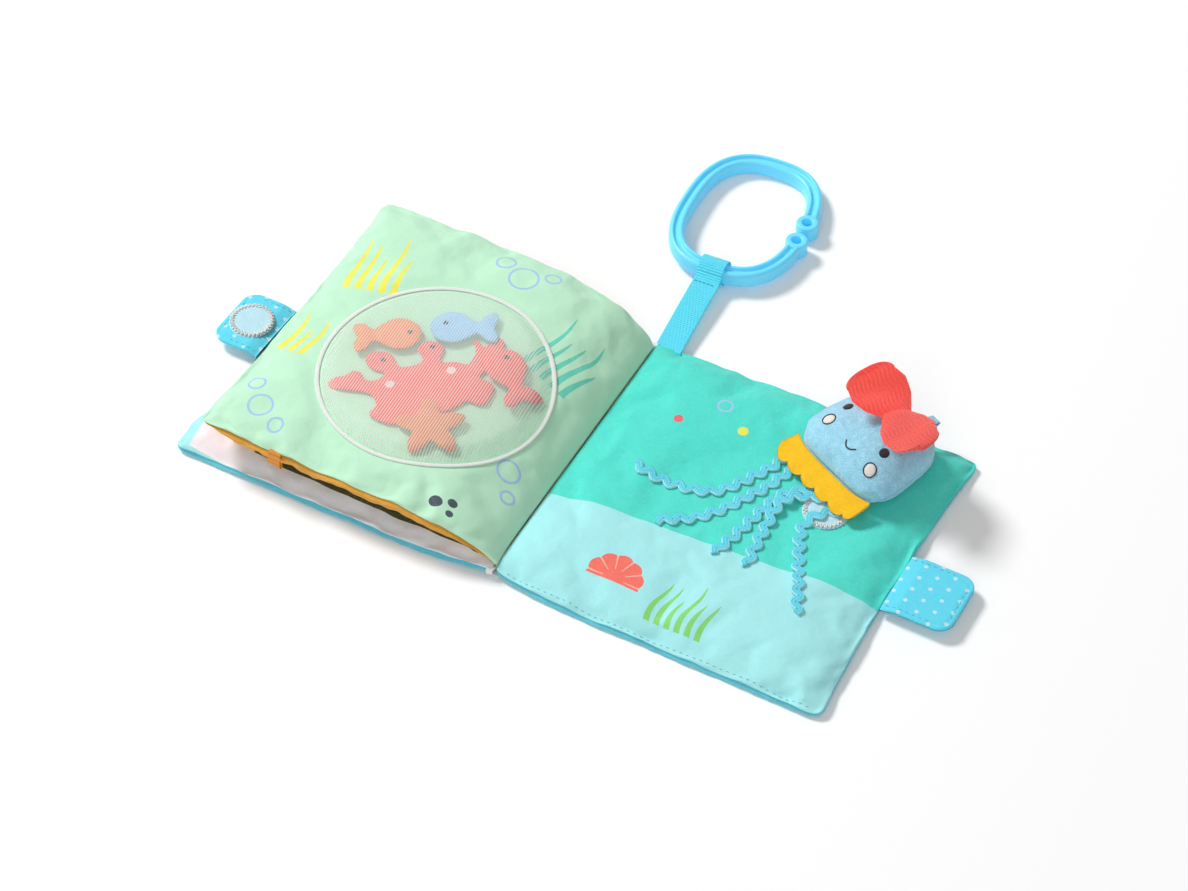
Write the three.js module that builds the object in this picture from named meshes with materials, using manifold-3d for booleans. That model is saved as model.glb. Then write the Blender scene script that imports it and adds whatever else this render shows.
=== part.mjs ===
// Crinkle cloth book, lying open. Millimetres, +Z up.
// The origin is the middle of the spine tape's underside, +X runs to the right cover's
// outer edge and +Y runs along the spine to the ribbon.
import * as THREE from 'three';
import { mergeVertices } from 'three/addons/utils/BufferGeometryUtils.js';
import Module from 'manifold-3d';

const wasm = await Module();
wasm.setup();

// Cloth and fits
const clearance = 0.3;
const panelCloth = 0.8;
const filmThickness = 0.3;
const feltThickness = 1.4;
const fastenerThickness = 0.8;
const cutOverrun = 2;

// Covers, the two outer leaves
const coverWidth = 149.2;
const coverLength = 152;
const coverRise = 4.6;
const coverSink = 3.6;
const coverRound = 14;
const coverSideBow = 3;
const coverEndBow = 1;
const spineDraw = 4.5;
const rightLean = 2;
const leftSkew = 0.036;

// Page, the puffed leaf that arches up from the spine
const pageWidth = 137.6;
const pageLength = 148;
const pageRise = 4.4;
const pageSink = 3.4;
const pageRound = 15;
const pageSideBow = 2;
const pageSpineHeight = 8;
const pageHeight = 23.5;
const pageRamp = 50;
const pageDroop = 1.5;
const pageLean = 1;
const pageSkew = 0.02;

// Spine
const spineGap = 0.8;
const tapeHalfWidth = 2.5;
const tapeThickness = 0.8;
const seamStripThickness = 0.8;

// Mesh window
const windowX = -63.5;
const windowY = -7.5;
const windowRadius = 51;
const borderWidth = 2.4;
const netThickness = 0.6;
const netStrand = 1.3;
const netPitch = 8;
const netSides = 36;
const netFallShares = [0, 0.1, 1];
const borderSteps = 40;
const borderSides = 6;
const netFlatRadius = 39;
const pocketDepth = 4;

// Tabs and touch fasteners
const tabWidth = 31.5;
const tabThickness = 2.4;
const tabCorner = 7;
const leftTabLength = 23.5;
const rightTabLength = 30;
const leftTabY = -2;
const rightTabY = 1.5;
const tabLift = 1.6;
const tabRise = 6;
const tabFastenerDiameter = 20;
const fastenerMargin = 0.9;
const pageFastenerDiameter = 20;
const pageFastenerX = 106.8;
const pageFastenerY = 18.8;

// Small tag under the page's near edge
const tagX = -102;
const tagWidth = 6;
const tagDrop = 7.5;
const tagThickness = 1.3;

// Ribbon and link ring
const ribbonWidth = 12;
const ribbonLayer = 0.7;
const ribbonStartX = 5;
const ribbonEndX = 1.4;
const ribbonLength = 43;
const ringWidth = 61;
const ringLength = 80;
const barWidth = 6.8;
const barHeight = 7.6;
const barChamfer = 1.6;
const grooveWidth = 2.4;
const grooveDepth = 1.4;
const ringFit = 1;
const ringTiltDegrees = 4;
const eyeletDiameter = 10;
const eyeletBore = 4.6;
const eyeletSpacing = 12.4;
const ringSquareness = 2.6;

// Stuffed toy with fins, skirt and braid tentacles
const toyX = 104;
const toyY = 31;
const toyTurnDegrees = -25.5;
const headWidth = 54;
const headTopWidth = 48;
const headLength = 45.5;
const headOffset = -3.5;
const headBottom = 0.5;
const headRise = 15;
const headSink = 6;
const headRound = 22;
const toyFastenerDiameter = 18;
const skirtWidth = 56;
const skirtOffset = -7;
const skirtLength = 9;
const skirtDrop = 4;
const skirtThickness = 1.2;
const scallopDepth = 2;
const scallopCount = 6;
const finLength = 24.5;
const finWidth = 28.5;
const finThickness = 2.4;
const finRootY = 35;
const leftFinSweep = 5;
const rightFinSweep = 8;
const finCup = 2;
const leftFinDegrees = 34;
const rightFinDegrees = 14;
const loopWidth = 5;
const loopLength = 9;
const loopThickness = 1.6;
const braidWidth = 4.2;
const braidThickness = 1.4;

// Loose felt shapes under the net
const fishLength = 28;
const smallFishLength = 26;
const crabWidth = 62;
const starDiameter = 30;
const starInnerShare = 0.18;
const starArms = 5;
const starSteps = 4;

// Shares along a leaf, close together where the cloth turns over to its seam
const leafShares = [0, 0.02, 0.06, 0.13, 0.3, 0.5, 0.7, 0.87, 0.94, 0.98, 1];
const pageShares = [0, 0.02, 0.06, 0.12, 0.19, 0.27, 0.5, 0.75, 0.87, 0.94, 0.98, 1];
const headShares = [0, 0.04, 0.12, 0.26, 0.5, 0.74, 0.88, 0.96, 1];
const finShares = [0, 0.12, 0.32, 0.58, 0.8, 0.94, 1];
const finWidthShares = [0.42, 0.6, 0.86, 1, 0.86, 0.5, 0.2];
const finAcrossShares = [-1, -0.5, 0, 0.5, 1];
const leftFollowShare = 0;
const rightFollowShare = 1;
const innerStep = 2;
const headCornerShare = 0.13;

const coverTop = coverSink + coverRise;
const half = (size) => size / 2;

// A closed solid over a grid: point(i, j, level) gives its underside at level 0 and its
// upper side at level 1. The winding is turned if the solid comes out inside out.
function gridSolid(columns, rows, point) {
  const positions = [];
  const index = [];
  const at = (i, j, level) => (level * (columns + 1) + i) * (rows + 1) + j;
  const quad = (a, b, c, d) => index.push(a, b, c, a, c, d);
  for (const level of [0, 1]) {
    for (let i = 0; i <= columns; i += 1) {
      for (let j = 0; j <= rows; j += 1) positions.push(...point(i, j, level));
    }
  }
  for (let i = 0; i < columns; i += 1) {
    for (let j = 0; j < rows; j += 1) {
      quad(at(i, j, 1), at(i + 1, j, 1), at(i + 1, j + 1, 1), at(i, j + 1, 1));
      quad(at(i, j, 0), at(i, j + 1, 0), at(i + 1, j + 1, 0), at(i + 1, j, 0));
    }
    quad(at(i, 0, 0), at(i + 1, 0, 0), at(i + 1, 0, 1), at(i, 0, 1));
    quad(at(i, rows, 1), at(i + 1, rows, 1), at(i + 1, rows, 0), at(i, rows, 0));
  }
  for (let j = 0; j < rows; j += 1) {
    quad(at(0, j, 1), at(0, j + 1, 1), at(0, j + 1, 0), at(0, j, 0));
    quad(at(columns, j, 0), at(columns, j + 1, 0), at(columns, j + 1, 1), at(columns, j, 1));
  }
  return outward(meshFrom(positions, index));
}

function meshFrom(positions, index) {
  const geometry = new THREE.BufferGeometry();
  geometry.setAttribute('position', new THREE.Float32BufferAttribute(positions, 3));
  geometry.setIndex(index);
  return geometry;
}

function outward(geometry) {
  const p = geometry.attributes.position;
  const index = geometry.index.array;
  const [a, b, c] = [new THREE.Vector3(), new THREE.Vector3(), new THREE.Vector3()];
  let volume = 0;
  for (let k = 0; k < index.length; k += 3) {
    a.fromBufferAttribute(p, index[k]);
    b.fromBufferAttribute(p, index[k + 1]);
    c.fromBufferAttribute(p, index[k + 2]);
    volume += a.dot(b.cross(c));
  }
  if (volume < 0) {
    for (let k = 0; k < index.length; k += 3) {
      [index[k + 1], index[k + 2]] = [index[k + 2], index[k + 1]];
    }
  }
  geometry.computeVertexNormals();
  return geometry;
}

// Booleans
function toSolid(geometry) {
  const bare = geometry.clone();
  bare.deleteAttribute('normal');
  bare.deleteAttribute('uv');
  const merged = mergeVertices(bare, 1e-4);
  const vertProperties = new Float32Array(merged.attributes.position.array);
  const triVerts = new Uint32Array(merged.index.array);
  return new wasm.Manifold(new wasm.Mesh({ numProp: 3, vertProperties, triVerts }));
}

function fromSolid(solid) {
  const mesh = solid.getMesh();
  const geometry = meshFrom(Array.from(mesh.vertProperties), Array.from(mesh.triVerts));
  geometry.computeVertexNormals();
  return geometry;
}

const disc = (radius, thickness, sides) => (
  new THREE.CylinderGeometry(radius, radius, thickness, sides).rotateX(Math.PI / 2)
);

const finish = (color, roughness) => (
  new THREE.MeshStandardMaterial({ color, roughness, metalness: 0 })
);

function addPart(parent, name, geometry, material) {
  const mesh = new THREE.Mesh(geometry, material);
  mesh.name = name;
  parent.add(mesh);
  return mesh;
}

// How far a stuffed edge has swollen at a distance from its seam, from 0 to 1
function swell(distance, round) {
  const left = 1 - Math.min(distance / round, 1);
  return Math.sqrt(1 - left * left);
}

// Leaves. A leaf is described by its plan and its middle surface, and every layer of it
// is an offset from that surface on the same grid.
const edgeOf = (share) => Math.min(share, 1 - share);

function leaf(side, columns, size) {
  const place = (u, v) => {
    const across = 2 * v - 1;
    const bow = size.sideBow * (1 - across * across) * u ** 3;
    const drawn = spineDraw * (1 - u) ** 6 + size.endBow * 4 * u * (1 - u);
    const x = spineGap + u * size.width - bow;
    const y = across * (half(size.length) - drawn);
    return [side * x + size.skew * u * y, y + size.lean * u];
  };
  const fullness = (u, v) => (
    swell(edgeOf(u) * size.width, size.round) * swell(edgeOf(v) * size.length, size.round)
  );
  return { ...size, columns, rows: leafShares, place, fullness };
}

function leafLayer(shape, inset, low, high) {
  const { columns, rows } = shape;
  return gridSolid(columns.length - 1 - 2 * inset, rows.length - 1 - 2 * inset, (i, j, level) => {
    const u = columns[i + inset];
    const v = rows[j + inset];
    const full = shape.fullness(u, v);
    const offset = level === 1 ? high(full) : low(full);
    return [...shape.place(u, v), shape.mid(u) + offset];
  });
}

// The four layers that every leaf is sewn from
function addLeafLayers(parent, shape, names, colors) {
  const seam = half(clearance);
  const frontInner = (full) => seam + (shape.rise - panelCloth - seam) * full;
  const backInner = (full) => -seam - (shape.sink - panelCloth - seam) * full;
  const filmTop = (full) => frontInner(full) - clearance;
  const waddingTop = (full) => filmTop(full) - filmThickness - clearance;
  const front = leafLayer(shape, 0, frontInner, (full) => frontInner(full) + panelCloth);
  const back = leafLayer(shape, 0, (full) => backInner(full) - panelCloth, backInner);
  const film = leafLayer(shape, innerStep, (full) => filmTop(full) - filmThickness, filmTop);
  const wadding = leafLayer(shape, innerStep, (full) => backInner(full) + clearance, waddingTop);
  addPart(parent, names.front, front, finish(colors.front, 0.8));
  addPart(parent, names.back, back, finish(colors.back, 0.8));
  addPart(parent, `${names.stem}_crinkle_film`, film, finish(0xe6eef2, 0.25));
  addPart(parent, `${names.stem}_wadding`, wadding, finish(0xf4f4f0, 0.95));
}

const coverSize = {
  width: coverWidth,
  length: coverLength,
  rise: coverRise,
  sink: coverSink,
  round: coverRound,
  sideBow: coverSideBow,
  endBow: coverEndBow,
};
const coverMid = () => coverSink;
const leftCover = leaf(-1, leafShares, { ...coverSize, lean: 0, skew: leftSkew, mid: coverMid });
const rightCover = leaf(1, leafShares, { ...coverSize, lean: rightLean, skew: 0, mid: coverMid });

// The page's middle surface climbs steeply from the spine, then runs nearly level
function pageMid(u) {
  const climb = 1 - Math.min((u * pageWidth) / pageRamp, 1);
  const level = pageSpineHeight + (pageHeight - pageSpineHeight) * (1 - climb * climb);
  return level - pageDroop * u ** 4;
}

const page = leaf(-1, pageShares, {
  width: pageWidth,
  length: pageLength,
  rise: pageRise,
  sink: pageSink,
  round: pageRound,
  sideBow: pageSideBow,
  endBow: 0,
  lean: pageLean,
  skew: pageSkew,
  mid: pageMid,
});

// Height of the page's upper side, never under the faceted cloth
function pageTopAt(x, y) {
  const u = Math.min(Math.max((-x - spineGap) / pageWidth, 0), 1);
  const v = Math.min(Math.max(y / pageLength + 0.5, 0), 1);
  const seam = half(clearance) + panelCloth;
  return pageMid(u) + seam + (pageRise - seam) * page.fullness(u, v);
}

// Spine: the tape that the leaves are sewn to, and the page's seam allowance on it
function addSpine(parent) {
  const tapeLength = coverLength - 2 * spineDraw;
  const tape = new THREE.BoxGeometry(2 * tapeHalfWidth, tapeLength, tapeThickness);
  tape.translate(0, 0, half(tapeThickness));
  addPart(parent, 'spine_tape', tape, finish(0xf1f4f4, 0.85));
  const low = tapeThickness + clearance;
  const high = pageSpineHeight - half(clearance) - panelCloth - clearance;
  const strip = new THREE.BoxGeometry(seamStripThickness, tapeLength - tapeThickness, high - low);
  strip.translate(0, 0, half(low + high));
  addPart(parent, 'spine_seam_strip', strip, finish(0xf1f4f4, 0.85));
}

// Window border: a stitched cord that follows the page
function windowBorder() {
  const radius = windowRadius - half(borderWidth);
  class Rim extends THREE.Curve {
    getPoint(t, target = new THREE.Vector3()) {
      const angle = 2 * Math.PI * t;
      const x = windowX + radius * Math.cos(angle);
      const y = windowY + radius * Math.sin(angle);
      return target.set(x, y, pageTopAt(x, y) + clearance + half(borderWidth));
    }
  }
  const rim = new Rim();
  const positions = [];
  const index = [];
  for (let i = 0; i < borderSteps; i += 1) {
    const centre = rim.getPoint(i / borderSteps);
    const angle = (2 * Math.PI * i) / borderSteps;
    for (let k = 0; k < borderSides; k += 1) {
      const turn = (2 * Math.PI * k) / borderSides;
      const out = half(borderWidth) * Math.cos(turn);
      const up = half(borderWidth) * Math.sin(turn);
      positions.push(centre.x + out * Math.cos(angle), centre.y + out * Math.sin(angle), centre.z + up);
      const next = (i + 1) % borderSteps;
      const side = (k + 1) % borderSides;
      const [a, b] = [i * borderSides + k, next * borderSides + k];
      const [c, d] = [next * borderSides + side, i * borderSides + side];
      index.push(a, b, c, a, c, d);
    }
  }
  return outward(meshFrom(positions, index));
}

// Net: level over the loose shapes, sloping down to its rim, with square gaps
function windowNet() {
  const rimRadius = windowRadius - borderWidth - clearance;
  const ringRadii = [netFlatRadius, half(netFlatRadius + rimRadius), rimRadius];
  const top = pageHeight + pageRise + pocketDepth;
  const positions = [];
  const index = [];
  const levels = [0, netThickness];
  for (const lift of levels) {
    positions.push(windowX, windowY, top + lift);
    ringRadii.forEach((radius, ring) => {
      for (let k = 0; k < netSides; k += 1) {
        const angle = (2 * Math.PI * k) / netSides;
        const x = windowX + radius * Math.cos(angle);
        const y = windowY + radius * Math.sin(angle);
        const rim = pageTopAt(x, y) + clearance;
        positions.push(x, y, top + (rim - top) * netFallShares[ring] + lift);
      }
    });
  }
  const perLevel = 1 + ringRadii.length * netSides;
  const at = (level, ring, k) => level * perLevel + 1 + ring * netSides + (k % netSides);
  for (let k = 0; k < netSides; k += 1) {
    index.push(perLevel, at(1, 0, k), at(1, 0, k + 1));
    index.push(0, at(0, 0, k + 1), at(0, 0, k));
    for (let ring = 1; ring < ringRadii.length; ring += 1) {
      const [a, b] = [at(1, ring - 1, k), at(1, ring, k)];
      const [c, d] = [at(1, ring, k + 1), at(1, ring - 1, k + 1)];
      index.push(a, b, c, a, c, d);
      const [e, f] = [at(0, ring - 1, k), at(0, ring, k)];
      const [g, h] = [at(0, ring, k + 1), at(0, ring - 1, k + 1)];
      index.push(e, g, f, e, h, g);
    }
    const last = ringRadii.length - 1;
    const [low, high] = [at(0, last, k), at(1, last, k)];
    const [lowNext, highNext] = [at(0, last, k + 1), at(1, last, k + 1)];
    index.push(low, lowNext, highNext, low, highNext, high);
  }
  let net = toSolid(outward(meshFrom(positions, index)));
  const gap = netPitch - netStrand;
  const reach = Math.ceil(netFlatRadius / netPitch);
  for (let i = -reach; i <= reach; i += 1) {
    for (let j = -reach; j <= reach; j += 1) {
      const out = Math.hypot(Math.abs(i) * netPitch + half(gap), Math.abs(j) * netPitch + half(gap));
      if (out < netFlatRadius - netStrand) {
        const hole = new THREE.BoxGeometry(gap, gap, netThickness + 2 * cutOverrun);
        hole.translate(i * netPitch, j * netPitch, top + half(netThickness));
        hole.rotateZ(Math.PI / 4);
        hole.translate(windowX, windowY, 0);
        net = net.subtract(toSolid(hole));
      }
    }
  }
  return fromSolid(net);
}

// Loose felt shapes. Outlines are in shares of each shape's own length, nose to tail.
const fishShares = [
  [0.5, 0], [0.42, 0.15], [0.22, 0.25], [0, 0.22], [-0.2, 0.08], [-0.44, 0.24],
  [-0.5, 0.12], [-0.38, 0], [-0.5, -0.14], [-0.4, -0.26], [-0.18, -0.08], [0, -0.22],
  [0.24, -0.26], [0.43, -0.15],
];
const crabShares = [
  [0.16, 0.26], [0.25, 0.29], [0.29, 0.44], [0.37, 0.41], [0.38, 0.5], [0.46, 0.43],
  [0.42, 0.29], [0.31, 0.2], [0.36, 0.06], [0.48, 0.06], [0.5, -0.05], [0.34, -0.1],
  [0.3, -0.2], [0.36, -0.3], [0.24, -0.34], [0.14, -0.24], [-0.14, -0.24], [-0.24, -0.34],
  [-0.36, -0.3], [-0.3, -0.2], [-0.34, -0.1], [-0.5, -0.05], [-0.48, 0.06], [-0.32, 0.06],
  [-0.26, 0.16], [-0.2, 0.2], [-0.22, 0.3], [-0.14, 0.36], [-0.07, 0.3], [-0.08, 0.2],
  [0.02, 0.2], [0.01, 0.3], [0.08, 0.36], [0.16, 0.32],
];

function feltPlate(points) {
  const outline = new THREE.Shape(points.map(([x, y]) => new THREE.Vector2(x, y)));
  return new THREE.ExtrudeGeometry(outline, { depth: feltThickness, bevelEnabled: false });
}

const scaled = (shares, size) => shares.map(([x, y]) => [x * size, y * size]);

function starPoints(diameter) {
  const outer = half(diameter);
  const inner = diameter * starInnerShare;
  const points = [];
  for (let k = 0; k < starArms * starSteps; k += 1) {
    const angle = (2 * Math.PI * k) / (starArms * starSteps);
    const reach = half(outer + inner) + half(outer - inner) * Math.cos(starArms * angle);
    points.push([reach * Math.cos(angle), reach * Math.sin(angle)]);
  }
  return points;
}

const looseShapes = {
  felt_orange_fish: { at: [-91, 2.5], turn: 20, level: 1, color: 0xf08a4b },
  felt_blue_fish: { at: [-67, 20.5], turn: 222, level: 1, color: 0x9fc9ec },
  felt_crab: { at: [-67, -15], turn: 26, level: 0, color: 0xff6f6a },
  felt_coral_fish: { at: [-32.5, 6], turn: 128, level: 0, color: 0xff6a64 },
  felt_starfish: { at: [-52, -32.5], turn: 60, level: 1, color: 0xd98b4e },
};
const looseOutlines = {
  felt_orange_fish: scaled(fishShares, fishLength),
  felt_blue_fish: scaled(fishShares, smallFishLength),
  felt_crab: scaled(crabShares, crabWidth),
  felt_coral_fish: scaled(fishShares, smallFishLength),
  felt_starfish: starPoints(starDiameter),
};

function addLooseShapes(parent) {
  const floor = pageHeight + pageRise + clearance;
  for (const [name, shape] of Object.entries(looseShapes)) {
    const plate = feltPlate(looseOutlines[name]);
    const mesh = addPart(parent, name, plate, finish(shape.color, 0.95));
    mesh.position.set(...shape.at, floor + shape.level * (feltThickness + clearance));
    mesh.rotation.z = THREE.MathUtils.degToRad(shape.turn);
  }
}

// Tabs: two layers of cloth that come out of a cover's seam and lift a little
const cornerShares = [0, 0.38, 0.71, 0.92, 1];

function tabGeometry(side, length, seamX, centreY, skew) {
  const cornerStart = length - tabCorner;
  const stations = [0, half(tabRise), tabRise].map((out) => [out, half(tabWidth)]);
  cornerShares.forEach((share) => {
    const inset = tabCorner * (1 - Math.sqrt(1 - share * share));
    stations.push([cornerStart + tabCorner * share, half(tabWidth) - inset]);
  });
  return gridSolid(stations.length - 1, 1, (i, j, level) => {
    const [out, halfWidth] = stations[i];
    const lift = tabLift * Math.min(out / tabRise, 1);
    const z = coverSink + lift + (level - 0.5) * tabThickness;
    const y = centreY + (2 * j - 1) * halfWidth;
    return [side * (seamX + clearance + out) + skew * y, y, z];
  });
}

function addTab(parent, name, side, length, centreY, skew) {
  const reach = (Math.abs(centreY) + half(tabWidth)) / half(coverLength);
  const seamX = spineGap + coverWidth - coverSideBow * (1 - reach * reach);
  const tab = tabGeometry(side, length, seamX, centreY, skew);
  addPart(parent, name, tab, finish(0x3fc4ea, 0.8));
  const fastener = disc(half(tabFastenerDiameter), fastenerThickness, 28);
  const middle = seamX + length - half(tabFastenerDiameter) - fastenerMargin;
  const surface = half(tabThickness) + tabLift + clearance + half(fastenerThickness);
  const z = coverSink + (side < 0 ? surface : 2 * tabLift - surface);
  fastener.translate(side * middle + skew * centreY, centreY, z);
  addPart(parent, `${name}_fastener`, fastener, finish(0xcfeaf6, 0.9));
}

// Tag
function addTag(parent) {
  const u = (-tagX - spineGap) / pageWidth;
  const y = -half(pageLength) + pageLean * u - clearance - half(tagThickness);
  const tag = new THREE.BoxGeometry(tagWidth, tagThickness, tagDrop);
  tag.translate(tagX, y, pageMid(u) - half(tagDrop));
  addPart(parent, 'page_tag', tag, finish(0xf4a11a, 0.8));
}

// Link ring: a chamfered bar, grooved above and below, bent to an open oval whose two
// ends carry hollow eyelets
const ringTilt = THREE.MathUtils.degToRad(ringTiltDegrees);
const loopRadius = Math.hypot(half(barWidth) - barChamfer, half(barHeight)) + ringFit;
const ringBarHeight = loopRadius + ribbonLayer + clearance;
const ribbonEdge = (ribbonStartX - spineGap) / coverWidth;
const ribbonStartY = rightCover.place(ribbonEdge, 1)[1] + 2 * clearance;
const ringBarY = ribbonStartY + ribbonLength + loopRadius;

class Oval extends THREE.Curve {
  constructor(gap) {
    super();
    this.gap = gap;
  }

  getPoint(t, target = new THREE.Vector3()) {
    const angle = this.gap + t * (2 * Math.PI - 2 * this.gap);
    const power = 2 / ringSquareness;
    const rounded = (value) => Math.sign(value) * Math.abs(value) ** power;
    const x = (half(ringWidth) - half(barWidth)) * rounded(Math.cos(angle));
    const y = (half(ringLength) - half(barWidth)) * rounded(Math.sin(angle));
    return target.set(x, y, 0);
  }
}

function barSection() {
  const [w, h, c] = [half(barWidth), half(barHeight), barChamfer];
  const g = half(grooveWidth);
  const side = [[h, g], [h, w - c], [h - c, w]];
  const mirrored = side.map(([x, y]) => [-x, y]).reverse();
  const floor = h - grooveDepth;
  const upper = [[floor, g], ...side, ...mirrored, [-floor, g]];
  const lower = upper.map(([x, y]) => [x, -y]).reverse();
  return new THREE.Shape([...upper, ...lower].map(([x, y]) => new THREE.Vector2(x, y)));
}

function ringGeometry() {
  const reach = half(ringLength) - half(barWidth);
  const gap = Math.asin((half(eyeletSpacing) / reach) ** (ringSquareness / 2));
  const path = new Oval(gap);
  const bar = new THREE.ExtrudeGeometry(barSection(), { steps: 44, extrudePath: path });
  let ring = toSolid(bar);
  for (const t of [0, 1]) {
    const end = path.getPoint(t);
    const eyelet = disc(half(eyeletDiameter), barHeight, 20);
    eyelet.translate(end.x, end.y, 0);
    ring = ring.add(toSolid(eyelet));
  }
  for (const t of [0, 1]) {
    const end = path.getPoint(t);
    const bore = disc(half(eyeletBore), barHeight + 2 * cutOverrun, 14);
    bore.translate(end.x, end.y, 0);
    ring = ring.subtract(toSolid(bore));
  }
  return fromSolid(ring);
}

function addRing(parent) {
  const reach = half(ringLength) - half(barWidth);
  const pitch = -Math.atan((ringBarHeight - half(barHeight)) / (2 * reach));
  const geometry = ringGeometry();
  geometry.translate(0, reach, 0);
  const ring = addPart(parent, 'link_ring', geometry, finish(0x4db9ec, 0.25));
  ring.position.set(ribbonEndX, ringBarY, ringBarHeight);
  ring.rotation.set(pitch, 0, ringTilt, 'ZXY');
}

// Ribbon: doubled tape from the cover's seam to a loop round the ring's bar
function addRibbon(parent) {
  const steps = 14;
  const outer = loopRadius + ribbonLayer;
  const mouth = Math.asin(ribbonLayer / outer);
  const lift = ringBarHeight - coverSink;
  const profile = new THREE.Shape();
  profile.moveTo(0, -ribbonLayer - lift);
  profile.lineTo(ribbonLength, -ribbonLayer);
  for (let k = 0; k <= steps; k += 1) {
    const angle = Math.PI + mouth + (k / steps) * (2 * Math.PI - 2 * mouth);
    profile.lineTo(ribbonLength + outer + outer * Math.cos(angle), outer * Math.sin(angle));
  }
  profile.lineTo(0, ribbonLayer - lift);
  const hole = new THREE.Path();
  hole.absarc(ribbonLength + outer, 0, loopRadius, 0, 2 * Math.PI, true);
  profile.holes.push(hole);
  const settings = { depth: ribbonWidth, bevelEnabled: false, curveSegments: steps };
  const geometry = new THREE.ExtrudeGeometry(profile, settings);
  geometry.translate(0, 0, -half(ribbonWidth));
  geometry.rotateX(Math.PI / 2);
  geometry.rotateZ(Math.PI / 2);
  const ribbon = addPart(parent, 'ribbon', geometry, finish(0x35c8dd, 0.6));
  const run = ribbonLength + outer;
  ribbon.position.set(ribbonStartX, ribbonStartY, ringBarHeight);
  ribbon.rotation.z = Math.atan((ribbonStartX - ribbonEndX) / run);
}

// Toy. Its frame lies on the right cover, x along the skirt and y towards the fins.
const headSeam = 2 * clearance + fastenerThickness + headSink;

const headSize = {
  rise: headRise,
  sink: headSink,
  columns: headShares,
  rows: headShares,
  mid: () => headSeam,
  place: (u, v) => {
    const [a, b] = [2 * u - 1, 2 * v - 1];
    const width = headWidth + (headTopWidth - headWidth) * v;
    const x = headOffset + half(width) * a * (1 - headCornerShare * b ** 4);
    return [x, headBottom + half(headLength) * (1 + b * (1 - headCornerShare * a ** 4))];
  },
  fullness: (u, v) => (
    swell(edgeOf(u) * headWidth, headRound) * swell(edgeOf(v) * headLength, headRound)
  ),
};

// Height of the head's plush along its middle line
function headTopAt(y) {
  const seam = half(clearance) + panelCloth;
  const share = (y - headBottom) / headLength;
  return headSeam + seam + (headRise - seam) * headSize.fullness(0.5, share);
}

function addHead(parent) {
  const seam = half(clearance);
  const frontInner = (full) => seam + (headRise - panelCloth - seam) * full;
  const backInner = (full) => -seam - (headSink - panelCloth - seam) * full;
  const front = leafLayer(headSize, 0, frontInner, (full) => frontInner(full) + panelCloth);
  const back = leafLayer(headSize, 0, (full) => backInner(full) - panelCloth, backInner);
  const low = (full) => backInner(full) + clearance;
  const stuffing = leafLayer(headSize, innerStep, low, (full) => frontInner(full) - clearance);
  addPart(parent, 'toy_front', front, finish(0x7fbfe2, 0.95));
  addPart(parent, 'toy_back', back, finish(0x6fb2d8, 0.95));
  addPart(parent, 'toy_stuffing', stuffing, finish(0xf6f6f2, 0.95));
  const fastener = disc(half(toyFastenerDiameter), fastenerThickness, 24);
  const middle = headBottom + half(headLength);
  fastener.translate(headOffset, middle, clearance + half(fastenerThickness));
  addPart(parent, 'toy_fastener', fastener, finish(0xcfeaf6, 0.9));
}

function addSkirt(parent) {
  const perScallop = 4;
  const columns = scallopCount * perScallop;
  const rows = 3;
  const skirt = gridSolid(columns, rows, (i, j, level) => {
    const along = i / columns;
    const down = j / rows;
    const scallop = scallopDepth * Math.abs(Math.sin(Math.PI * scallopCount * along));
    const root = headWidth * (1 - headCornerShare);
    const width = root + (skirtWidth - root) * Math.sqrt(down);
    const x = headOffset + (skirtOffset - headOffset) * down + width * (along - 0.5);
    const corner = half(headLength) * headCornerShare * (2 * along - 1) ** 4 * (1 - down);
    const y = headBottom - clearance - down * (skirtLength + scallop) + corner;
    const z = headSeam - skirtDrop * down + (level - 0.5) * skirtThickness;
    return [x, y, z];
  });
  addPart(parent, 'toy_skirt', skirt, finish(0xffc20e, 0.95));
}

// A fin is a cupped petal whose root follows the head. The follow share says how much of
// the root's fall its outer edge keeps.
function addFin(parent, name, side, degrees, sweep, followShare) {
  const tilt = THREE.MathUtils.degToRad(degrees);
  const rootTop = headTopAt(finRootY);
  const fin = gridSolid(finShares.length - 1, finAcrossShares.length - 1, (i, j, level) => {
    const out = finShares[i];
    const across = finAcrossShares[j];
    const reach = out * finLength;
    const y = half(finWidth) * finWidthShares[i] * across - sweep * out;
    const rise = finCup * across * across * out + (level - 0.5) * finThickness;
    const fall = headTopAt(finRootY + half(finWidth) * finWidthShares[0] * across) - rootTop;
    const x = half(finThickness) + reach * Math.cos(tilt) - rise * Math.sin(tilt);
    const z = reach * Math.sin(tilt) + rise * Math.cos(tilt);
    return [side * x, y, z + fall * (1 - out * (1 - followShare))];
  });
  const mesh = addPart(parent, name, fin, finish(0xf4524e, 0.85));
  const lift = rootTop + clearance + half(finThickness) * Math.cos(tilt);
  mesh.position.set(0, finRootY, lift);
}

function addHangLoop(parent) {
  const top = headBottom + headLength;
  const loop = new THREE.BoxGeometry(loopWidth, loopLength, loopThickness);
  loop.translate(0, top + clearance + half(loopLength), headSeam);
  addPart(parent, 'toy_hang_loop', loop, finish(0x6fd0e8, 0.7));
}

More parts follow.
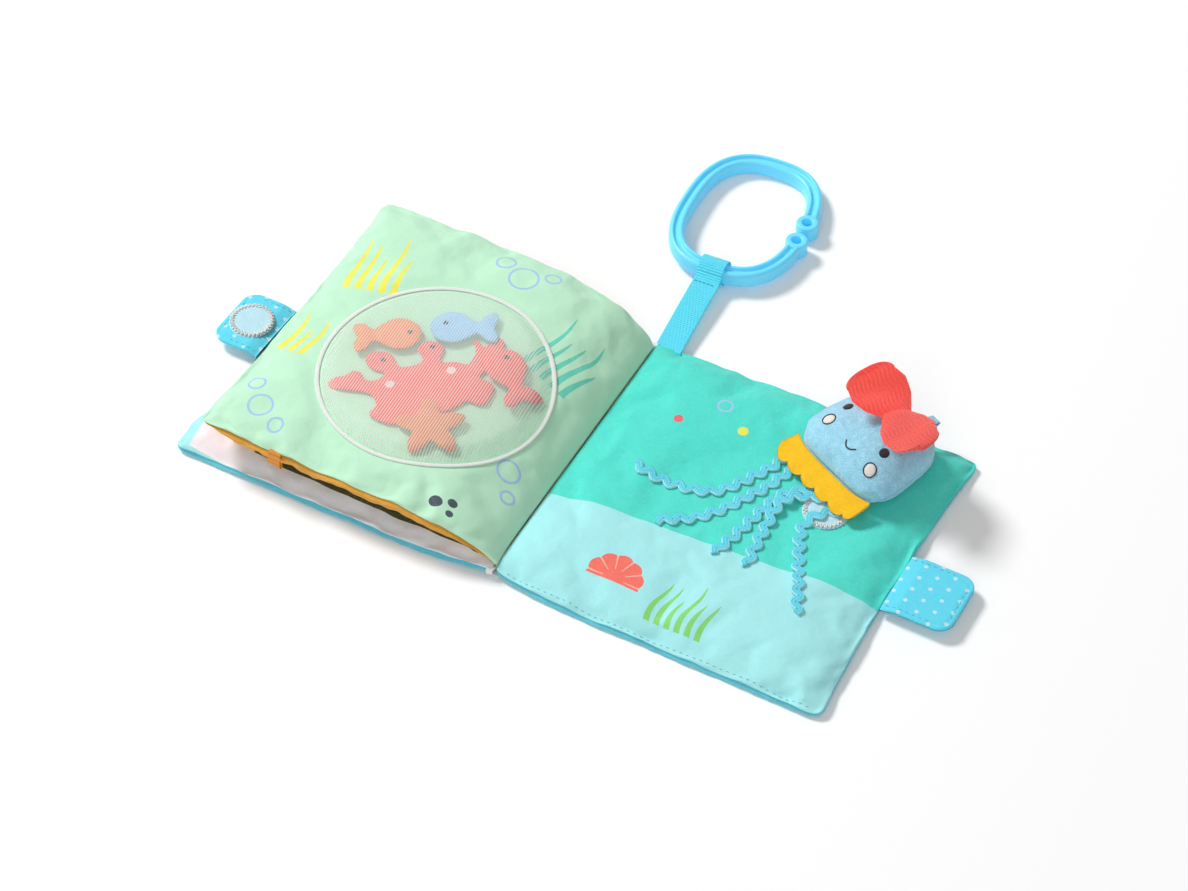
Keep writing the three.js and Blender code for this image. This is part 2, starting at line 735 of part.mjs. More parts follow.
// Tentacles: braids that lie on the right cover. Points run from the toy's lower seam.
const tentacleRoutes = [
  [[83.2, 41.9, 12.6], [80.4, 38.2, 10.9], [78.0, 33.4, 9.8], [76.3, 28.6, 10.0],
    [73.7, 24.2, 9.5], [70.1, 17.5, 9.3], [66.1, 10.9, 9.3], [60.7, 5.7, 9.3],
    [54.1, 2.7, 9.3], [47.5, 1.7, 9.3], [39.9, 1.1, 9.3], [32.1, 1.3, 9.3],
    [25.7, 2.9, 9.3]],
  [[89.4, 38.9, 12.6], [86.8, 35.4, 11.0], [84.0, 30.6, 9.8], [81.6, 24.0, 9.4],
    [78.9, 17.2, 9.3], [75.3, 10.3, 9.3], [71.1, 2.7, 9.3], [67.3, -3.1, 9.3],
    [62.9, -8.5, 9.3], [57.7, -12.7, 9.3], [52.5, -16.5, 9.3], [47.9, -19.7, 9.3]],
  [[102.9, 32.5, 12.6], [100.6, 29.6, 11.3], [97.0, 26.8, 10.2], [93.2, 24.0, 9.4],
    [89.9, 21.1, 9.3], [86.7, 16.9, 9.3], [84.7, 11.1, 9.3], [83.1, 4.5, 9.3],
    [81.7, -2.9, 9.3], [80.1, -10.3, 9.3], [78.3, -17.1, 9.3], [76.7, -23.5, 9.3]],
  [[108.7, 29.7, 12.6], [106.2, 26.0, 11.0], [101.6, 22.8, 10.2], [96.4, 20.4, 10.5],
    [92.0, 17.4, 11.2], [89.1, 12.9, 11.0], [88.5, 6.7, 10.2], [88.9, 0.1, 9.5],
    [89.5, -7.5, 9.3], [90.1, -15.3, 9.3], [91.3, -22.8, 9.3]],
  [[116.2, 26.2, 12.6], [113.6, 21.8, 10.8], [109.2, 18.4, 10.2], [105.6, 14.6, 10.7],
    [103.0, 10.2, 10.2], [102.5, 5.1, 9.6], [104.5, -1.1, 9.3], [107.5, -7.5, 9.3],
    [110.7, -14.5, 9.3], [114.1, -21.7, 9.3], [117.5, -29.1, 9.3], [120.3, -36.5, 9.3]],
];

// The braids' wide side stays level along their whole run
class LevelPath extends THREE.CatmullRomCurve3 {
  computeFrenetFrames(segments) {
    const frames = { tangents: [], normals: [], binormals: [] };
    for (let i = 0; i <= segments; i += 1) {
      const tangent = this.getTangentAt(i / segments);
      const across = tangent.clone().cross(new THREE.Vector3(0, 0, 1)).normalize();
      frames.tangents.push(tangent);
      frames.normals.push(across.clone().cross(tangent));
      frames.binormals.push(across);
    }
    return frames;
  }
}

function addTentacles(parent) {
  const sides = 8;
  const section = [];
  for (let k = 0; k < sides; k += 1) {
    const angle = (2 * Math.PI * (k + 0.5)) / sides;
    const y = half(braidWidth) * Math.sin(angle);
    section.push(new THREE.Vector2(half(braidThickness) * Math.cos(angle), y));
  }
  tentacleRoutes.forEach((route, k) => {
    const path = new LevelPath(route.map((point) => new THREE.Vector3(...point)));
    const settings = { steps: 2 * route.length, extrudePath: path };
    const braid = new THREE.ExtrudeGeometry(new THREE.Shape(section), settings);
    addPart(parent, `toy_tentacle_${k + 1}`, braid, finish(0x2db4de, 0.85));
  });
}

function addToy(parent) {
  const toy = new THREE.Group();
  toy.position.set(toyX, toyY, coverTop);
  toy.rotation.z = THREE.MathUtils.degToRad(toyTurnDegrees);
  addHead(toy);
  addSkirt(toy);
  addFin(toy, 'toy_left_fin', -1, leftFinDegrees, leftFinSweep, leftFollowShare);
  addFin(toy, 'toy_right_fin', 1, rightFinDegrees, rightFinSweep, rightFollowShare);
  addHangLoop(toy);
  parent.add(toy);
  addTentacles(parent);
}

const book = new THREE.Group();
addLeafLayers(book, page, {
  stem: 'page',
  front: 'page_front_panel',
  back: 'page_back_panel',
}, { front: 0xbdf0cf, back: 0xd9a441 });
addLeafLayers(book, leftCover, {
  stem: 'left_cover',
  front: 'left_cover_inner_panel',
  back: 'left_cover_outer_panel',
}, { front: 0xbfe6ea, back: 0x66c3d8 });
addLeafLayers(book, rightCover, {
  stem: 'right_cover',
  front: 'right_cover_inner_panel',
  back: 'right_cover_outer_panel',
}, { front: 0x4fdcc4, back: 0x66c3d8 });
addSpine(book);
addPart(book, 'window_border', windowBorder(), finish(0xf5f5ee, 0.8));
addPart(book, 'window_net', windowNet(), finish(0xf2f7f2, 0.7));
addLooseShapes(book);
addTab(book, 'left_tab', -1, leftTabLength, leftTabY, leftSkew);
addTab(book, 'right_tab', 1, rightTabLength, rightTabY, 0);
const pageFastener = disc(half(pageFastenerDiameter), fastenerThickness, 28);
pageFastener.translate(pageFastenerX, pageFastenerY, coverTop + clearance + half(fastenerThickness));
addPart(book, 'right_cover_fastener', pageFastener, finish(0x9fe3d6, 0.9));
addTag(book);
addRibbon(book);
addRing(book);
addToy(book);

export default book;
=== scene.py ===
"""Crinkle cloth book lying open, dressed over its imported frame. Metres, +Z up."""

import math

import bpy
import numpy as np
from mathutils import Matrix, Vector
from mathutils.bvhtree import BVHTree
from mathutils.geometry import delaunay_2d_cdt


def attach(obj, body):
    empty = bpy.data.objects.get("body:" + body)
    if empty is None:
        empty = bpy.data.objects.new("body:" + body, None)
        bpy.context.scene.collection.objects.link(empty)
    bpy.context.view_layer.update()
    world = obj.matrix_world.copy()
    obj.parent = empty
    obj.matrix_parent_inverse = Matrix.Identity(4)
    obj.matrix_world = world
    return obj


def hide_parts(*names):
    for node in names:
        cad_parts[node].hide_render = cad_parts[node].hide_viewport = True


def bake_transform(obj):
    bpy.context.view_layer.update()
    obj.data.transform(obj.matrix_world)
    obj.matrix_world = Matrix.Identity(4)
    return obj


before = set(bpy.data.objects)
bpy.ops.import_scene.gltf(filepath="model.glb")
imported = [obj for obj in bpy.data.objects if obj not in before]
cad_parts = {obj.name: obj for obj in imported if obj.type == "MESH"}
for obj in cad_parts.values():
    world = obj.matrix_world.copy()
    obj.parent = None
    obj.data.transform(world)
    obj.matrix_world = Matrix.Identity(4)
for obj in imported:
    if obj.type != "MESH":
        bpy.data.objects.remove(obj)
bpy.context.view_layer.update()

MM = 0.001
TURN = 2 * math.pi
UP = np.array((0, 0, 1.0))


def colour(code):
    """A colour written as 0xRRGGBB, in linear values."""
    shares = [(code >> shift & 255) / 255 for shift in (16, 8, 0)]
    return (*[s / 12.92 if s <= 0.04045 else ((s + 0.055) / 1.055) ** 2.4 for s in shares], 1)


# Camera

VIEW_TARGET = Vector((2, 11, 0)) * MM
VIEW_TURN = math.radians(28.7)
VIEW_RISE = math.radians(48.6)
VIEW_DISTANCE = 1497 * MM
VIEW_LENS = 107.42
VIEW_SENSOR = 36


def add_camera():
    back = Vector((
        math.sin(VIEW_TURN) * math.cos(VIEW_RISE),
        -math.cos(VIEW_TURN) * math.cos(VIEW_RISE),
        math.sin(VIEW_RISE),
    ))
    settings = bpy.data.cameras.new("camera")
    settings.lens = VIEW_LENS
    settings.sensor_width = VIEW_SENSOR
    camera = bpy.data.objects.new("camera", settings)
    camera.location = VIEW_TARGET + back * VIEW_DISTANCE
    camera.rotation_euler = back.to_track_quat("Z", "Y").to_euler()
    bpy.context.scene.collection.objects.link(camera)
    bpy.context.scene.camera = camera


add_camera()

# Shader arithmetic


def operation(name, last=False):
    """A method that adds one Math node. The value itself comes first, or last."""

    def act(value, *others):
        values = (*others, value) if last else (value, *others)
        return value.finish.node("ShaderNodeMath", {"operation": name}, dict(enumerate(values)))

    return act


class Shade:
    """A value on a surface. An expression on these adds its Math nodes."""

    def __init__(self, finish, socket):
        self.finish, self.socket = finish, socket

    __add__ = __radd__ = operation("ADD")
    __sub__ = operation("SUBTRACT")
    __rsub__ = operation("SUBTRACT", last=True)
    __mul__ = __rmul__ = operation("MULTIPLY")
    __truediv__ = operation("DIVIDE")
    __lt__ = operation("LESS_THAN")
    __gt__ = operation("GREATER_THAN")
    __abs__ = operation("ABSOLUTE")
    sine = operation("SINE")
    angle = operation("ARCTAN2")
    floor = operation("FLOOR")
    fraction = operation("FRACT")
    power = operation("POWER")
    smaller = operation("MINIMUM")
    larger = operation("MAXIMUM")

    def rise(self, low, high):
        """0 below low, 1 above high, and smooth between them."""
        values = {"Value": self, "From Min": low, "From Max": high}
        return self.finish.node("ShaderNodeMapRange", {"interpolation_type": "SMOOTHSTEP"}, values)


PAINTS = {}


class Finish:
    """A material of nodes round one Principled shader. Places are in millimetres."""

    def __init__(self, name, rough, sheen=0, sheen_rough=0.5, more=None):
        self.name = name
        self.material = bpy.data.materials.new(name)
        self.material.use_nodes = True
        self.tree = self.material.node_tree
        self.shader = self.tree.nodes["Principled BSDF"]
        uniform = {"Roughness": rough, "Sheen Weight": sheen, "Sheen Roughness": sheen_rough}
        for socket, value in {**uniform, **(more or {})}.items():
            self.shader.inputs[socket].default_value = value
        inside = self.node("ShaderNodeTexCoord", output="Object")
        self.place = self.node(
            "ShaderNodeVectorMath", {"operation": "SCALE"}, {0: inside, "Scale": 1 / MM}
        )
        split = self.node("ShaderNodeSeparateXYZ", values={0: self.place})
        self.x, self.y, self.z = [Shade(self, socket) for socket in split.socket.node.outputs]

    def node(self, kind, settings=None, values=None, output=0):
        node = self.tree.nodes.new(kind)
        for name, value in (settings or {}).items():
            setattr(node, name, value)
        for key, value in (values or {}).items():
            if isinstance(value, Shade):
                self.tree.links.new(value.socket, node.inputs[key])
            else:
                node.inputs[key].default_value = value
        return Shade(self, node.outputs[output])

    def stretched(self, x, y, z):
        """The place with its axes multiplied, for grain that runs one way."""
        settings = {"operation": "MULTIPLY"}
        return self.node("ShaderNodeVectorMath", settings, {0: self.place, 1: (x, y, z)})

    def noise(self, size, detail=2, of=None):
        values = {"Vector": of or self.place, "Scale": 1 / size, "Detail": detail}
        return self.node("ShaderNodeTexNoise", values=values)

    def mix(self, mask, first, second):
        return self.node("ShaderNodeMix", {"data_type": "RGBA"}, {0: mask, 6: first, 7: second}, 2)

    def bump(self, height, depth, below=None):
        values = {"Height": height, "Distance": depth * MM}
        if below:
            values["Normal"] = below
        return self.node("ShaderNodeBump", values=values)

    def dress(self, shade, **links):
        """Link the base colour and the other sockets given, and keep the finished paint."""
        for socket, value in {"Base Color": shade, **links}.items():
            self.tree.links.new(value.socket, self.shader.inputs[socket])
        PAINTS[self.name] = self.material


def darker(shade, share):
    return (*[share * c for c in shade[:3]], 1)


MINT = colour(0xBFF0CE)
OCHRE = colour(0xE2A02A)
TEAL = colour(0x44E2D1)
AQUA = colour(0xA6EEF0)
DEEP_AQUA = colour(0x62CFE2)
PALE_PINK = colour(0xF6ECF2)
# Painted light: bluish white that lightens the pink stripes where the page shades them
PAINTED_LIGHT_WHITE = colour(0xF0F7FE)
# Painted shade: dark olive for the left cover where the page above shades it
PAINTED_SHADE_OLIVE = colour(0x3E4A24)
CYAN = colour(0x5AE0FA)
PATCH_BLUE = colour(0xC2ECF9)
WHITE_THREAD = colour(0xF4F6F2)
GRASS = colour(0x86DB6C)
SUN_YELLOW = colour(0xF2EC4E)
SKY_PRINT = colour(0xA3C8EE)
SLATE = colour(0x3E4C58)
CORAL = colour(0xFB6F5E)
ROSE = colour(0xF2606E)
ORANGE_FELT = colour(0xF8944A)
BLUE_FELT = colour(0x9AD4F8)
CORAL_FELT = colour(0xFF6B62)
BROWN_FELT = colour(0xEC862C)
LEAF_TEAL = colour(0x62D6BC)
NET_WHITE = colour(0xF8FBF6)
TURQUOISE = colour(0x58E4FF)
RING_BLUE = colour(0x7ADDFE)
RING_GLOW = colour(0x0B4F66)
PLUSH_BLUE = colour(0xA8E6FF)
GOLDEN = colour(0xFFC60C)
FIN_CORAL = colour(0xFC5248)
FIN_EDGE = colour(0xFBC9C0)
BRAID_BLUE = colour(0x62DEF4)
BRAID_EDGE = colour(0xC0F2F6)
TAG_ORANGE = colour(0xF39A1C)
INK = colour(0x2C2A33)
RIB_PINK = colour(0xFDB7A6)
BORDER_WHITE = colour(0xF6FBF4)
CHEEK_WHITE = colour(0xF1ECE4)
LOOP_BLUE = colour(0xA0E8F8)

# Painted prints, with painted shade and light on the left cover


def turned(x, y, degrees):
    c, s = math.cos(math.radians(degrees)), math.sin(math.radians(degrees))
    return x * c + y * s, y * c - x * s


def spot(x, y, centre, radius, squash=1.0):
    dx, dy = x - centre[0], (y - centre[1]) * squash
    return dx * dx + dy * dy < radius**2


def bubble(x, y, centre, radius, line=0.5):
    dx, dy = x - centre[0], y - centre[1]
    return abs(dx * dx + dy * dy - radius**2) < 2 * radius * line


def blades(x, y, left, base, count, spacing, height, phase):
    """Swaying tapered blades that stand side by side along X."""
    grown = (y - base) / height
    swayed = (x - left) / spacing + (grown * 5 + phase).sine() * 0.3
    blade = swayed.floor()
    tall = (blade * 2.4 + phase).sine() * 0.22 + 0.78
    width = (1 - grown / tall).larger(0).power(0.55) * 0.3
    inside = (grown > 0) * (blade > -0.5) * (blade < count - 0.5)
    return (abs(swayed.fraction() - 0.5) < width) * inside


def any_of(masks):
    total = masks[0]
    for mask in masks[1:]:
        total = total.larger(mask)
    return total


def page_print(f):
    x, y = f.x, f.y
    rings = [
        ((-119, -57), 5.2), ((-108, -63), 3.2), ((-127, -47), 3.6), ((-58, 58), 6.4),
        ((-47, 64.5), 3.4), ((-70, 64), 4.2), ((-14, -33), 4.6), ((-9, -43), 2.8),
    ]
    sky = any_of([bubble(x, y, centre, radius) for centre, radius in rings])
    ax, ay = turned(x, y, 12)
    gold = blades(ax, ay, -119, 44, 5, 5.4, 34, 0.6).larger(
        blades(x, y, -132, -24, 3, 5, 26, 2.1)
    )
    bx, by = turned(x, y, -10)
    teal = blades(bx, by, -39, 10, 5, 5.2, 36, 1.3)
    stones = any_of([
        spot(x, y, (-30, -65), 3.1, 1.4),
        spot(x, y, (-23.5, -62.4), 2.1, 1.2),
        spot(x, y, (-22.5, -67), 1.7, 1.3),
    ])
    base = f.mix(sky, MINT, SKY_PRINT)
    base = f.mix(gold, base, SUN_YELLOW)
    base = f.mix(teal, base, LEAF_TEAL)
    return f.mix(stones, base, SLATE)


def right_print(f):
    x, y = f.x, f.y
    shore = -25.6 + 0.072 * x + ((x - 6) / 48.6).sine() * 0.9
    base = f.mix(y < shore, TEAL, AQUA)
    dx, dy = x - 47, y + 55
    reach = dx * dx + dy * dy
    angle = dy.angle(dx)
    scallop = abs((angle * 5).sine()) * 1.1
    fan = (reach < (11.5 + scallop).power(2)) * (dy > -1.5)
    ribs = (abs((angle * 5).sine()) < 0.16) * (reach > 22)
    base = f.mix(fan, base, CORAL)
    base = f.mix(fan * ribs, base, RIB_PINK)
    grass = blades(x, y, 66, -66, 6, 4.6, 25, 0.4)
    base = f.mix(grass, base, GRASS)
    base = f.mix(spot(x, y, (30, 34), 2.1), base, ROSE)
    base = f.mix(bubble(x, y, (44, 50), 3.2, 0.45), base, SKY_PRINT)
    return f.mix(spot(x, y, (57, 41), 2.3), base, SUN_YELLOW)


def left_print_and_painted_light(f):
    low = ((f.x + 146) * 0.04).smaller(2.5) + 74
    stripe = ((f.y + low) / 24).fraction() < 0.5
    # Painted light: from x -135 to -112 the pink stripes turn bluish white, brightening them where
    # the page above shades them and its ochre back tints the light.
    pink_and_painted_light = f.mix(f.x.rise(-135, -112), PALE_PINK, PAINTED_LIGHT_WHITE)
    base = f.mix(stripe * (f.x > -146), AQUA, pink_and_painted_light)
    # Painted shade: further in from the near hem, under the page, the cover is painted dark olive
    # where the page shades it.
    under_page_shade = (f.y + low > (-118 - f.x).larger(0) * 1.2 + 9) * (f.x < -9)
    return f.mix(under_page_shade, base, PAINTED_SHADE_OLIVE)


def dotted(base, pitch, radius):
    def paint(f):
        row = (f.x / pitch).floor()
        across = (f.x / pitch).fraction() - 0.5
        along = (f.y / pitch + (row / 2).fraction()).fraction() - 0.5
        mask = across * across + along * along < (radius / pitch) ** 2
        return f.mix(mask * 0.6, base, WHITE_THREAD)

    return paint


def plain(base):
    return lambda f: f.mix(f.noise(22, 2).rise(0.35, 0.7) * 0.25, base, darker(base, 0.9))


# Finishes


def woven(name, paint, pitch=0.62, depth=0.07):
    """Printed cotton: the paint gives the print, and threads pass over and under each other."""
    f = Finish(name, 0.8, 0.2)
    turn = TURN / pitch
    threads = (f.x * turn).sine() * (f.y * turn).sine()
    slubs = f.noise(1, 2, f.stretched(0.5, 2.4, 1)) + f.noise(1, 2, f.stretched(2.4, 0.5, 1))
    base = paint(f)
    worn = f.mix(slubs.rise(0.85, 1.3) * 0.06, base, WHITE_THREAD)
    height = threads * 0.5 + slubs * 0.8
    soft = f.bump(f.noise(7, 2), 0.5)
    f.dress(worn, Normal=f.bump(height, depth, soft))


def felt(name, base, marks=(), pale=()):
    """Pressed fibres, with small printed marks at the places given."""
    f = Finish(name, 0.95, 0.35, 0.45)
    fibres = f.noise(0.7, 4) * 0.6 + f.noise(3.2, 3) * 0.4
    shade = f.mix(fibres.rise(0.35, 0.66), darker(base, 0.88), base)
    for centre, radius in pale:
        shade = f.mix(spot(f.x, f.y, centre, radius) * 0.8, shade, WHITE_THREAD)
    for centre, radius in marks:
        shade = f.mix(spot(f.x, f.y, centre, radius), shade, INK)
    f.dress(shade, Normal=f.bump(fibres, 0.35))


def plush(name, base):
    f = Finish(name, 0.95, 0.6, 0.4)
    pile = f.noise(0.55, 3) * 0.55 + f.noise(2.4, 3) * 0.45
    shade = f.mix(pile.rise(0.32, 0.68), darker(base, 0.78), base)
    tipped = f.mix(pile.rise(0.55, 0.75) * 0.4, shade, WHITE_THREAD)
    f.dress(tipped, Normal=f.bump(pile, 0.8))


def corded(name, base, edge, glow):
    """Fin cloth with raised wavy cords. Light from behind comes through as a glow."""
    f = Finish(name, 0.85, 0.3, 0.5, {"Emission Color": base, "Emission Strength": glow})
    ex, ey = turned(f.x, f.y, -25.5)
    swing = (ex / 1.3).sine() * 0.55
    cords = ((ey + swing) * (TURN / 2.1)).sine()
    fuzz = f.noise(0.6, 2)
    shade = f.mix(cords.rise(-0.9, 0.2), darker(base, 0.9), base)
    shade = f.mix(fuzz.rise(0.58, 0.75) * 0.3, shade, edge)
    f.dress(shade, Normal=f.bump(cords * 0.5 + fuzz * 0.3, 0.35))


def moulded(name, base, glow):
    """Smooth plastic that lets some light through, given as a faint glow."""
    f = Finish(name, 0.3, more={
        "Specular IOR Level": 0.35, "Subsurface Weight": 0.08,
        "Subsurface Radius": (0.002, 0.003, 0.004), "Emission Color": glow, "Emission Strength": 1,
    })
    cloud = f.noise(9, 2)
    shade = f.mix(cloud.rise(0.3, 0.75) * 0.2, base, darker(base, 0.94))
    rough = cloud * 0.12 + 0.26
    f.dress(shade, Roughness=rough, Normal=f.bump(f.noise(0.8, 2), 0.012))


def grosgrain(name, base, direction, pitch, glow=0):
    """Ribbed ribbon: ribs lie across the direction, in degrees from +X. The glow is painted light:
    the ribbon gives off light in its own colour.
    """
    f = Finish(name, 0.5, 0.25, 0.35, {"Emission Color": base, "Emission Strength": glow})
    along, across = turned(f.x, f.y, direction)
    ribs = ((along + f.z * 0.3) * (TURN / pitch)).sine()
    thread = (across * (TURN / 0.5)).sine()
    shade = f.mix(ribs.rise(-0.9, 0.3), darker(base, 0.86), base)
    f.dress(shade, Normal=f.bump(ribs + thread * 0.25, 0.14))


NET_LAY, NET_PITCH = 93, 1.15


def net_cloth():
    """A see-through veil: fine threads run one way and thin ties hold them."""
    f = Finish("net_cloth", 0.6, 0.3)
    along, across = turned(f.x, f.y, NET_LAY)
    warp = (across * (TURN / NET_PITCH)).sine()
    ties = (along * (TURN / 0.9) + warp * 1.2).sine()
    veil = warp.rise(-0.2, 0.8) * 0.42 + ties.rise(0, 1) * 0.05 + f.noise(5, 2) * 0.1 + 0.1
    f.dress(f.mix(warp.rise(-0.4, 0.9), darker(NET_WHITE, 0.9), NET_WHITE), Alpha=veil)


def stitched_thread(name, base):
    f = Finish(name, 0.65, 0.2)
    lay = ((f.x + f.y + f.z) * (TURN / 0.7)).sine()
    f.dress(f.mix(lay.rise(-0.8, 0.4), darker(base, 0.8), base), Normal=f.bump(lay, 0.05))


woven("page_cloth", page_print)
woven("page_back_cloth", plain(OCHRE))
woven("left_cloth", left_print_and_painted_light)
woven("right_cloth", right_print)
woven("outer_cloth", plain(DEEP_AQUA))
woven("tab_cloth", dotted(CYAN, 6.6, 0.9), 0.8, 0.12)
woven("patch_cloth", plain(PATCH_BLUE), 0.9, 0.16)
woven("white_cloth", plain(WHITE_THREAD))
stitched_thread("thread", WHITE_THREAD)
stitched_thread("aqua_thread", darker(DEEP_AQUA, 0.75))
stitched_thread("border", BORDER_WHITE)
net_cloth()
felt("orange_felt", ORANGE_FELT, [((-83.5, 5.6), 1.2)])
felt("blue_felt", BLUE_FELT, [((-73.2, 17.4), 1.2)])
felt("crab_felt", CORAL_FELT, [((-86.3, -12.3), 1.2), ((-71.7, 4.1), 1.2)],
     [((-76.6, -22.9), 2), ((-58, -3.9), 2)])
felt("coral_felt", CORAL_FELT, [((-40.9, 12.8), 1.2)])
felt("brown_felt", BROWN_FELT)
felt("golden_felt", GOLDEN)
felt("ink_felt", INK)
felt("cheek_felt", CHEEK_WHITE)
plush("plush", PLUSH_BLUE)
# Painted light: the left fin's cloth glows far more than the right fin's, standing in for the key
# light shining through it from behind.
corded("left_fin_cloth", FIN_CORAL, FIN_EDGE, 0.34)
corded("right_fin_cloth", FIN_CORAL, FIN_EDGE, 0.03)
moulded("ring", RING_BLUE, RING_GLOW)
# Painted light: the ribbon glows a little in its own colour.
grosgrain("ribbon", TURQUOISE, 94.2, 1.1, 0.12)
grosgrain("loop", LOOP_BLUE, 64.5, 0.9)
grosgrain("tag", TAG_ORANGE, 90, 0.9)

# Meshes


def add_piece(name, shape, paint, slot, body, nodes=()):
    """A mesh from (points, faces). It moves with the body and stands for the nodes."""
    mesh = bpy.data.meshes.new(name)
    mesh.from_pydata((np.asarray(shape[0], float) * MM).tolist(), [], shape[1])
    mesh.validate()
    mesh.materials.append(PAINTS[paint])
    mesh.shade_smooth()
    piece = bpy.data.objects.new(name, mesh)
    bpy.context.scene.collection.objects.link(piece)
    if nodes:
        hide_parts(*nodes)
    if body:
        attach(piece, body)
    return piece


def refine(points, faces):
    """One Catmull-Clark subdivision, as plain points and faces."""
    mesh = bpy.data.meshes.new("refined")
    mesh.from_pydata(np.asarray(points, float).tolist(), [], faces)
    holder = bpy.data.objects.new("refined", mesh)
    bpy.context.scene.collection.objects.link(holder)
    holder.modifiers.new("finer", "SUBSURF").levels = 1
    graph = bpy.context.evaluated_depsgraph_get()
    fine = holder.evaluated_get(graph).to_mesh()
    found = np.array([vertex.co for vertex in fine.vertices])
    finer = [list(face.vertices) for face in fine.polygons]
    bpy.data.objects.remove(holder)
    bpy.data.meshes.remove(mesh)
    return found, finer


def grid_faces(rows, columns, wrap=False, flip=False):
    """Quads over a grid of points. Wrap joins the last column to the first."""
    faces = []
    for i in range(rows - 1):
        for j in range(columns if wrap else columns - 1):
            k = (j + 1) % columns
            face = [i * columns + j, (i + 1) * columns + j, (i + 1) * columns + k, i * columns + k]
            faces.append(face[::-1] if flip else face)
    return faces


def shell_faces(rows, columns, flip, ends=True):
    """Faces of two grids, one over the other, that are closed along their edges."""
    half = rows * columns
    faces = grid_faces(rows, columns, flip=flip)
    faces += [[k + half for k in face] for face in grid_faces(rows, columns, flip=not flip)]
    for i in range(rows - 1):
        for a in (i * columns, (i + 1) * columns - 1):
            faces.append([a, a + columns, a + columns + half, a + half])
    for start in (0, half - columns) if ends else ():
        faces += [[a, a + 1, a + 1 + half, a + half] for a in range(start, start + columns - 1)]
    return faces


def disc(rings, sides, middle, place):
    """A round grid: its middle point, then rings of points at place(ring, angle)."""
    points = [middle]
    for ring in range(1, rings + 1):
        points += [place(ring, TURN * k / sides) for k in range(sides)]
    faces = [[0, 1 + k, 1 + (k + 1) % sides] for k in range(sides)]
    for start in range(1, (rings - 1) * sides, sides):
        for k in range(sides):
            a, b = start + k, start + (k + 1) % sides
            faces.append([a, a + sides, b + sides, b])
    return points, faces


def joined(parts):
    """Several (points, faces) pairs as one."""
    points, faces, start = [], [], 0
    for part_points, part_faces in parts:
        points.append(np.asarray(part_points, float))
        faces += [[start + k for k in face] for face in part_faces]
        start += len(part_points)
    return np.vstack(points), faces


def unit(vectors):
    return vectors / np.linalg.norm(vectors, axis=-1, keepdims=True)


def tangents(path, closed=False):
    if closed:
        return unit(np.roll(path, -1, axis=0) - np.roll(path, 1, axis=0))
    return unit(np.gradient(path, axis=0))


def sweep(path, across, section, closed=False, scales=None):
    """A section carried along a path. Its points are (across, up) offsets."""
    path = np.asarray(path, float)
    across = np.broadcast_to(np.asarray(across, float), path.shape)
    ways = tangents(path, closed)
    ups = unit(np.cross(across, ways))
    sides = unit(np.cross(ways, ups))
    section = np.asarray(section, float)
    if section.ndim == 2:
        section = np.broadcast_to(section, (len(path), *section.shape))
    if scales is not None:
        section = section * np.asarray(scales)[:, None, None]
    rings = path[:, None] + sides[:, None] * section[..., :1] + ups[:, None] * section[..., 1:]
    count = section.shape[1]
    points = rings.reshape(-1, 3)
    faces = grid_faces(len(path), count, wrap=True)
    if closed:
        last = (len(path) - 1) * count
        faces += [[last + j, j, (j + 1) % count, last + (j + 1) % count] for j in range(count)]
        return points, faces
    faces.append(list(range(count)))
    faces.append([len(points) - 1 - j for j in range(count)])
    return points, faces


def oval_section(width, height, count=12, power=2.0):
    turn = np.arange(count) / count * TURN
    c, s = np.cos(turn), np.sin(turn)
    across = np.sign(c) * np.abs(c) ** (2 / power) * width / 2
    return np.stack((across, np.sign(s) * np.abs(s) ** (2 / power) * height / 2), axis=1)


def run_along(line):
    """The distance of each point of a line from its start."""
    return np.concatenate(([0], np.cumsum(np.linalg.norm(np.diff(line, axis=0), axis=1))))


def points_at(line, runs):
    """Points of a line at the distances given from its start."""
    run = run_along(line)
    return np.stack([np.interp(runs, run, line[:, k]) for k in range(3)], axis=1)


def smooth_path(points, spacing, closed=False):
    """A Catmull-Rom line through the points, at an even spacing."""
    points = np.asarray(points, float)
    if closed:
        ends = np.vstack((points[-1:], points, points[:2]))
    else:
        ends = np.vstack((2 * points[0] - points[1], points, 2 * points[-1] - points[-2]))
    line = []
    for k in range(len(ends) - 3):
        a, b, c, d = ends[k : k + 4]
        for t in np.arange(0, 1, 0.05):
            bend = (2 * a - 5 * b + 4 * c - d) * t**2 + (3 * b - a - 3 * c + d) * t**3
            line.append(0.5 * (2 * b + (c - a) * t + bend))
    line.append(ends[-2])
    line = np.array(line)
    length = run_along(line)[-1]
    even = np.linspace(0, length, max(int(length / spacing), 2) + 1)
    return points_at(line, even[:-1] if closed else even)


def wander(places, period, seed):
    """Smooth noise along a line, from -1 to 1, with bumps about a period long."""
    values = np.random.default_rng(seed).uniform(-1, 1, 512)
    where = np.asarray(places, float) / period + 100
    low = np.floor(where).astype(int)
    part = where - low
    part = part * part * (3 - 2 * part)
    return values[low % 512] * (1 - part) + values[(low + 1) % 512] * part


def bump_shape(distance, width):
    return np.exp(-((distance / width) ** 2))


def to_segment(x, y, start, end):
    """Distance from a segment and share of the way along it."""
    ax, ay = start
    bx, by = end
    span = (bx - ax) ** 2 + (by - ay) ** 2
    share = np.clip(((x - ax) * (bx - ax) + (y - ay) * (by - ay)) / span, 0, 1)
    return np.hypot(x - ax - share * (bx - ax), y - ay - share * (by - ay)), share


# Leaves. Rings of points turn over at the seam, then a grid covers the panel.

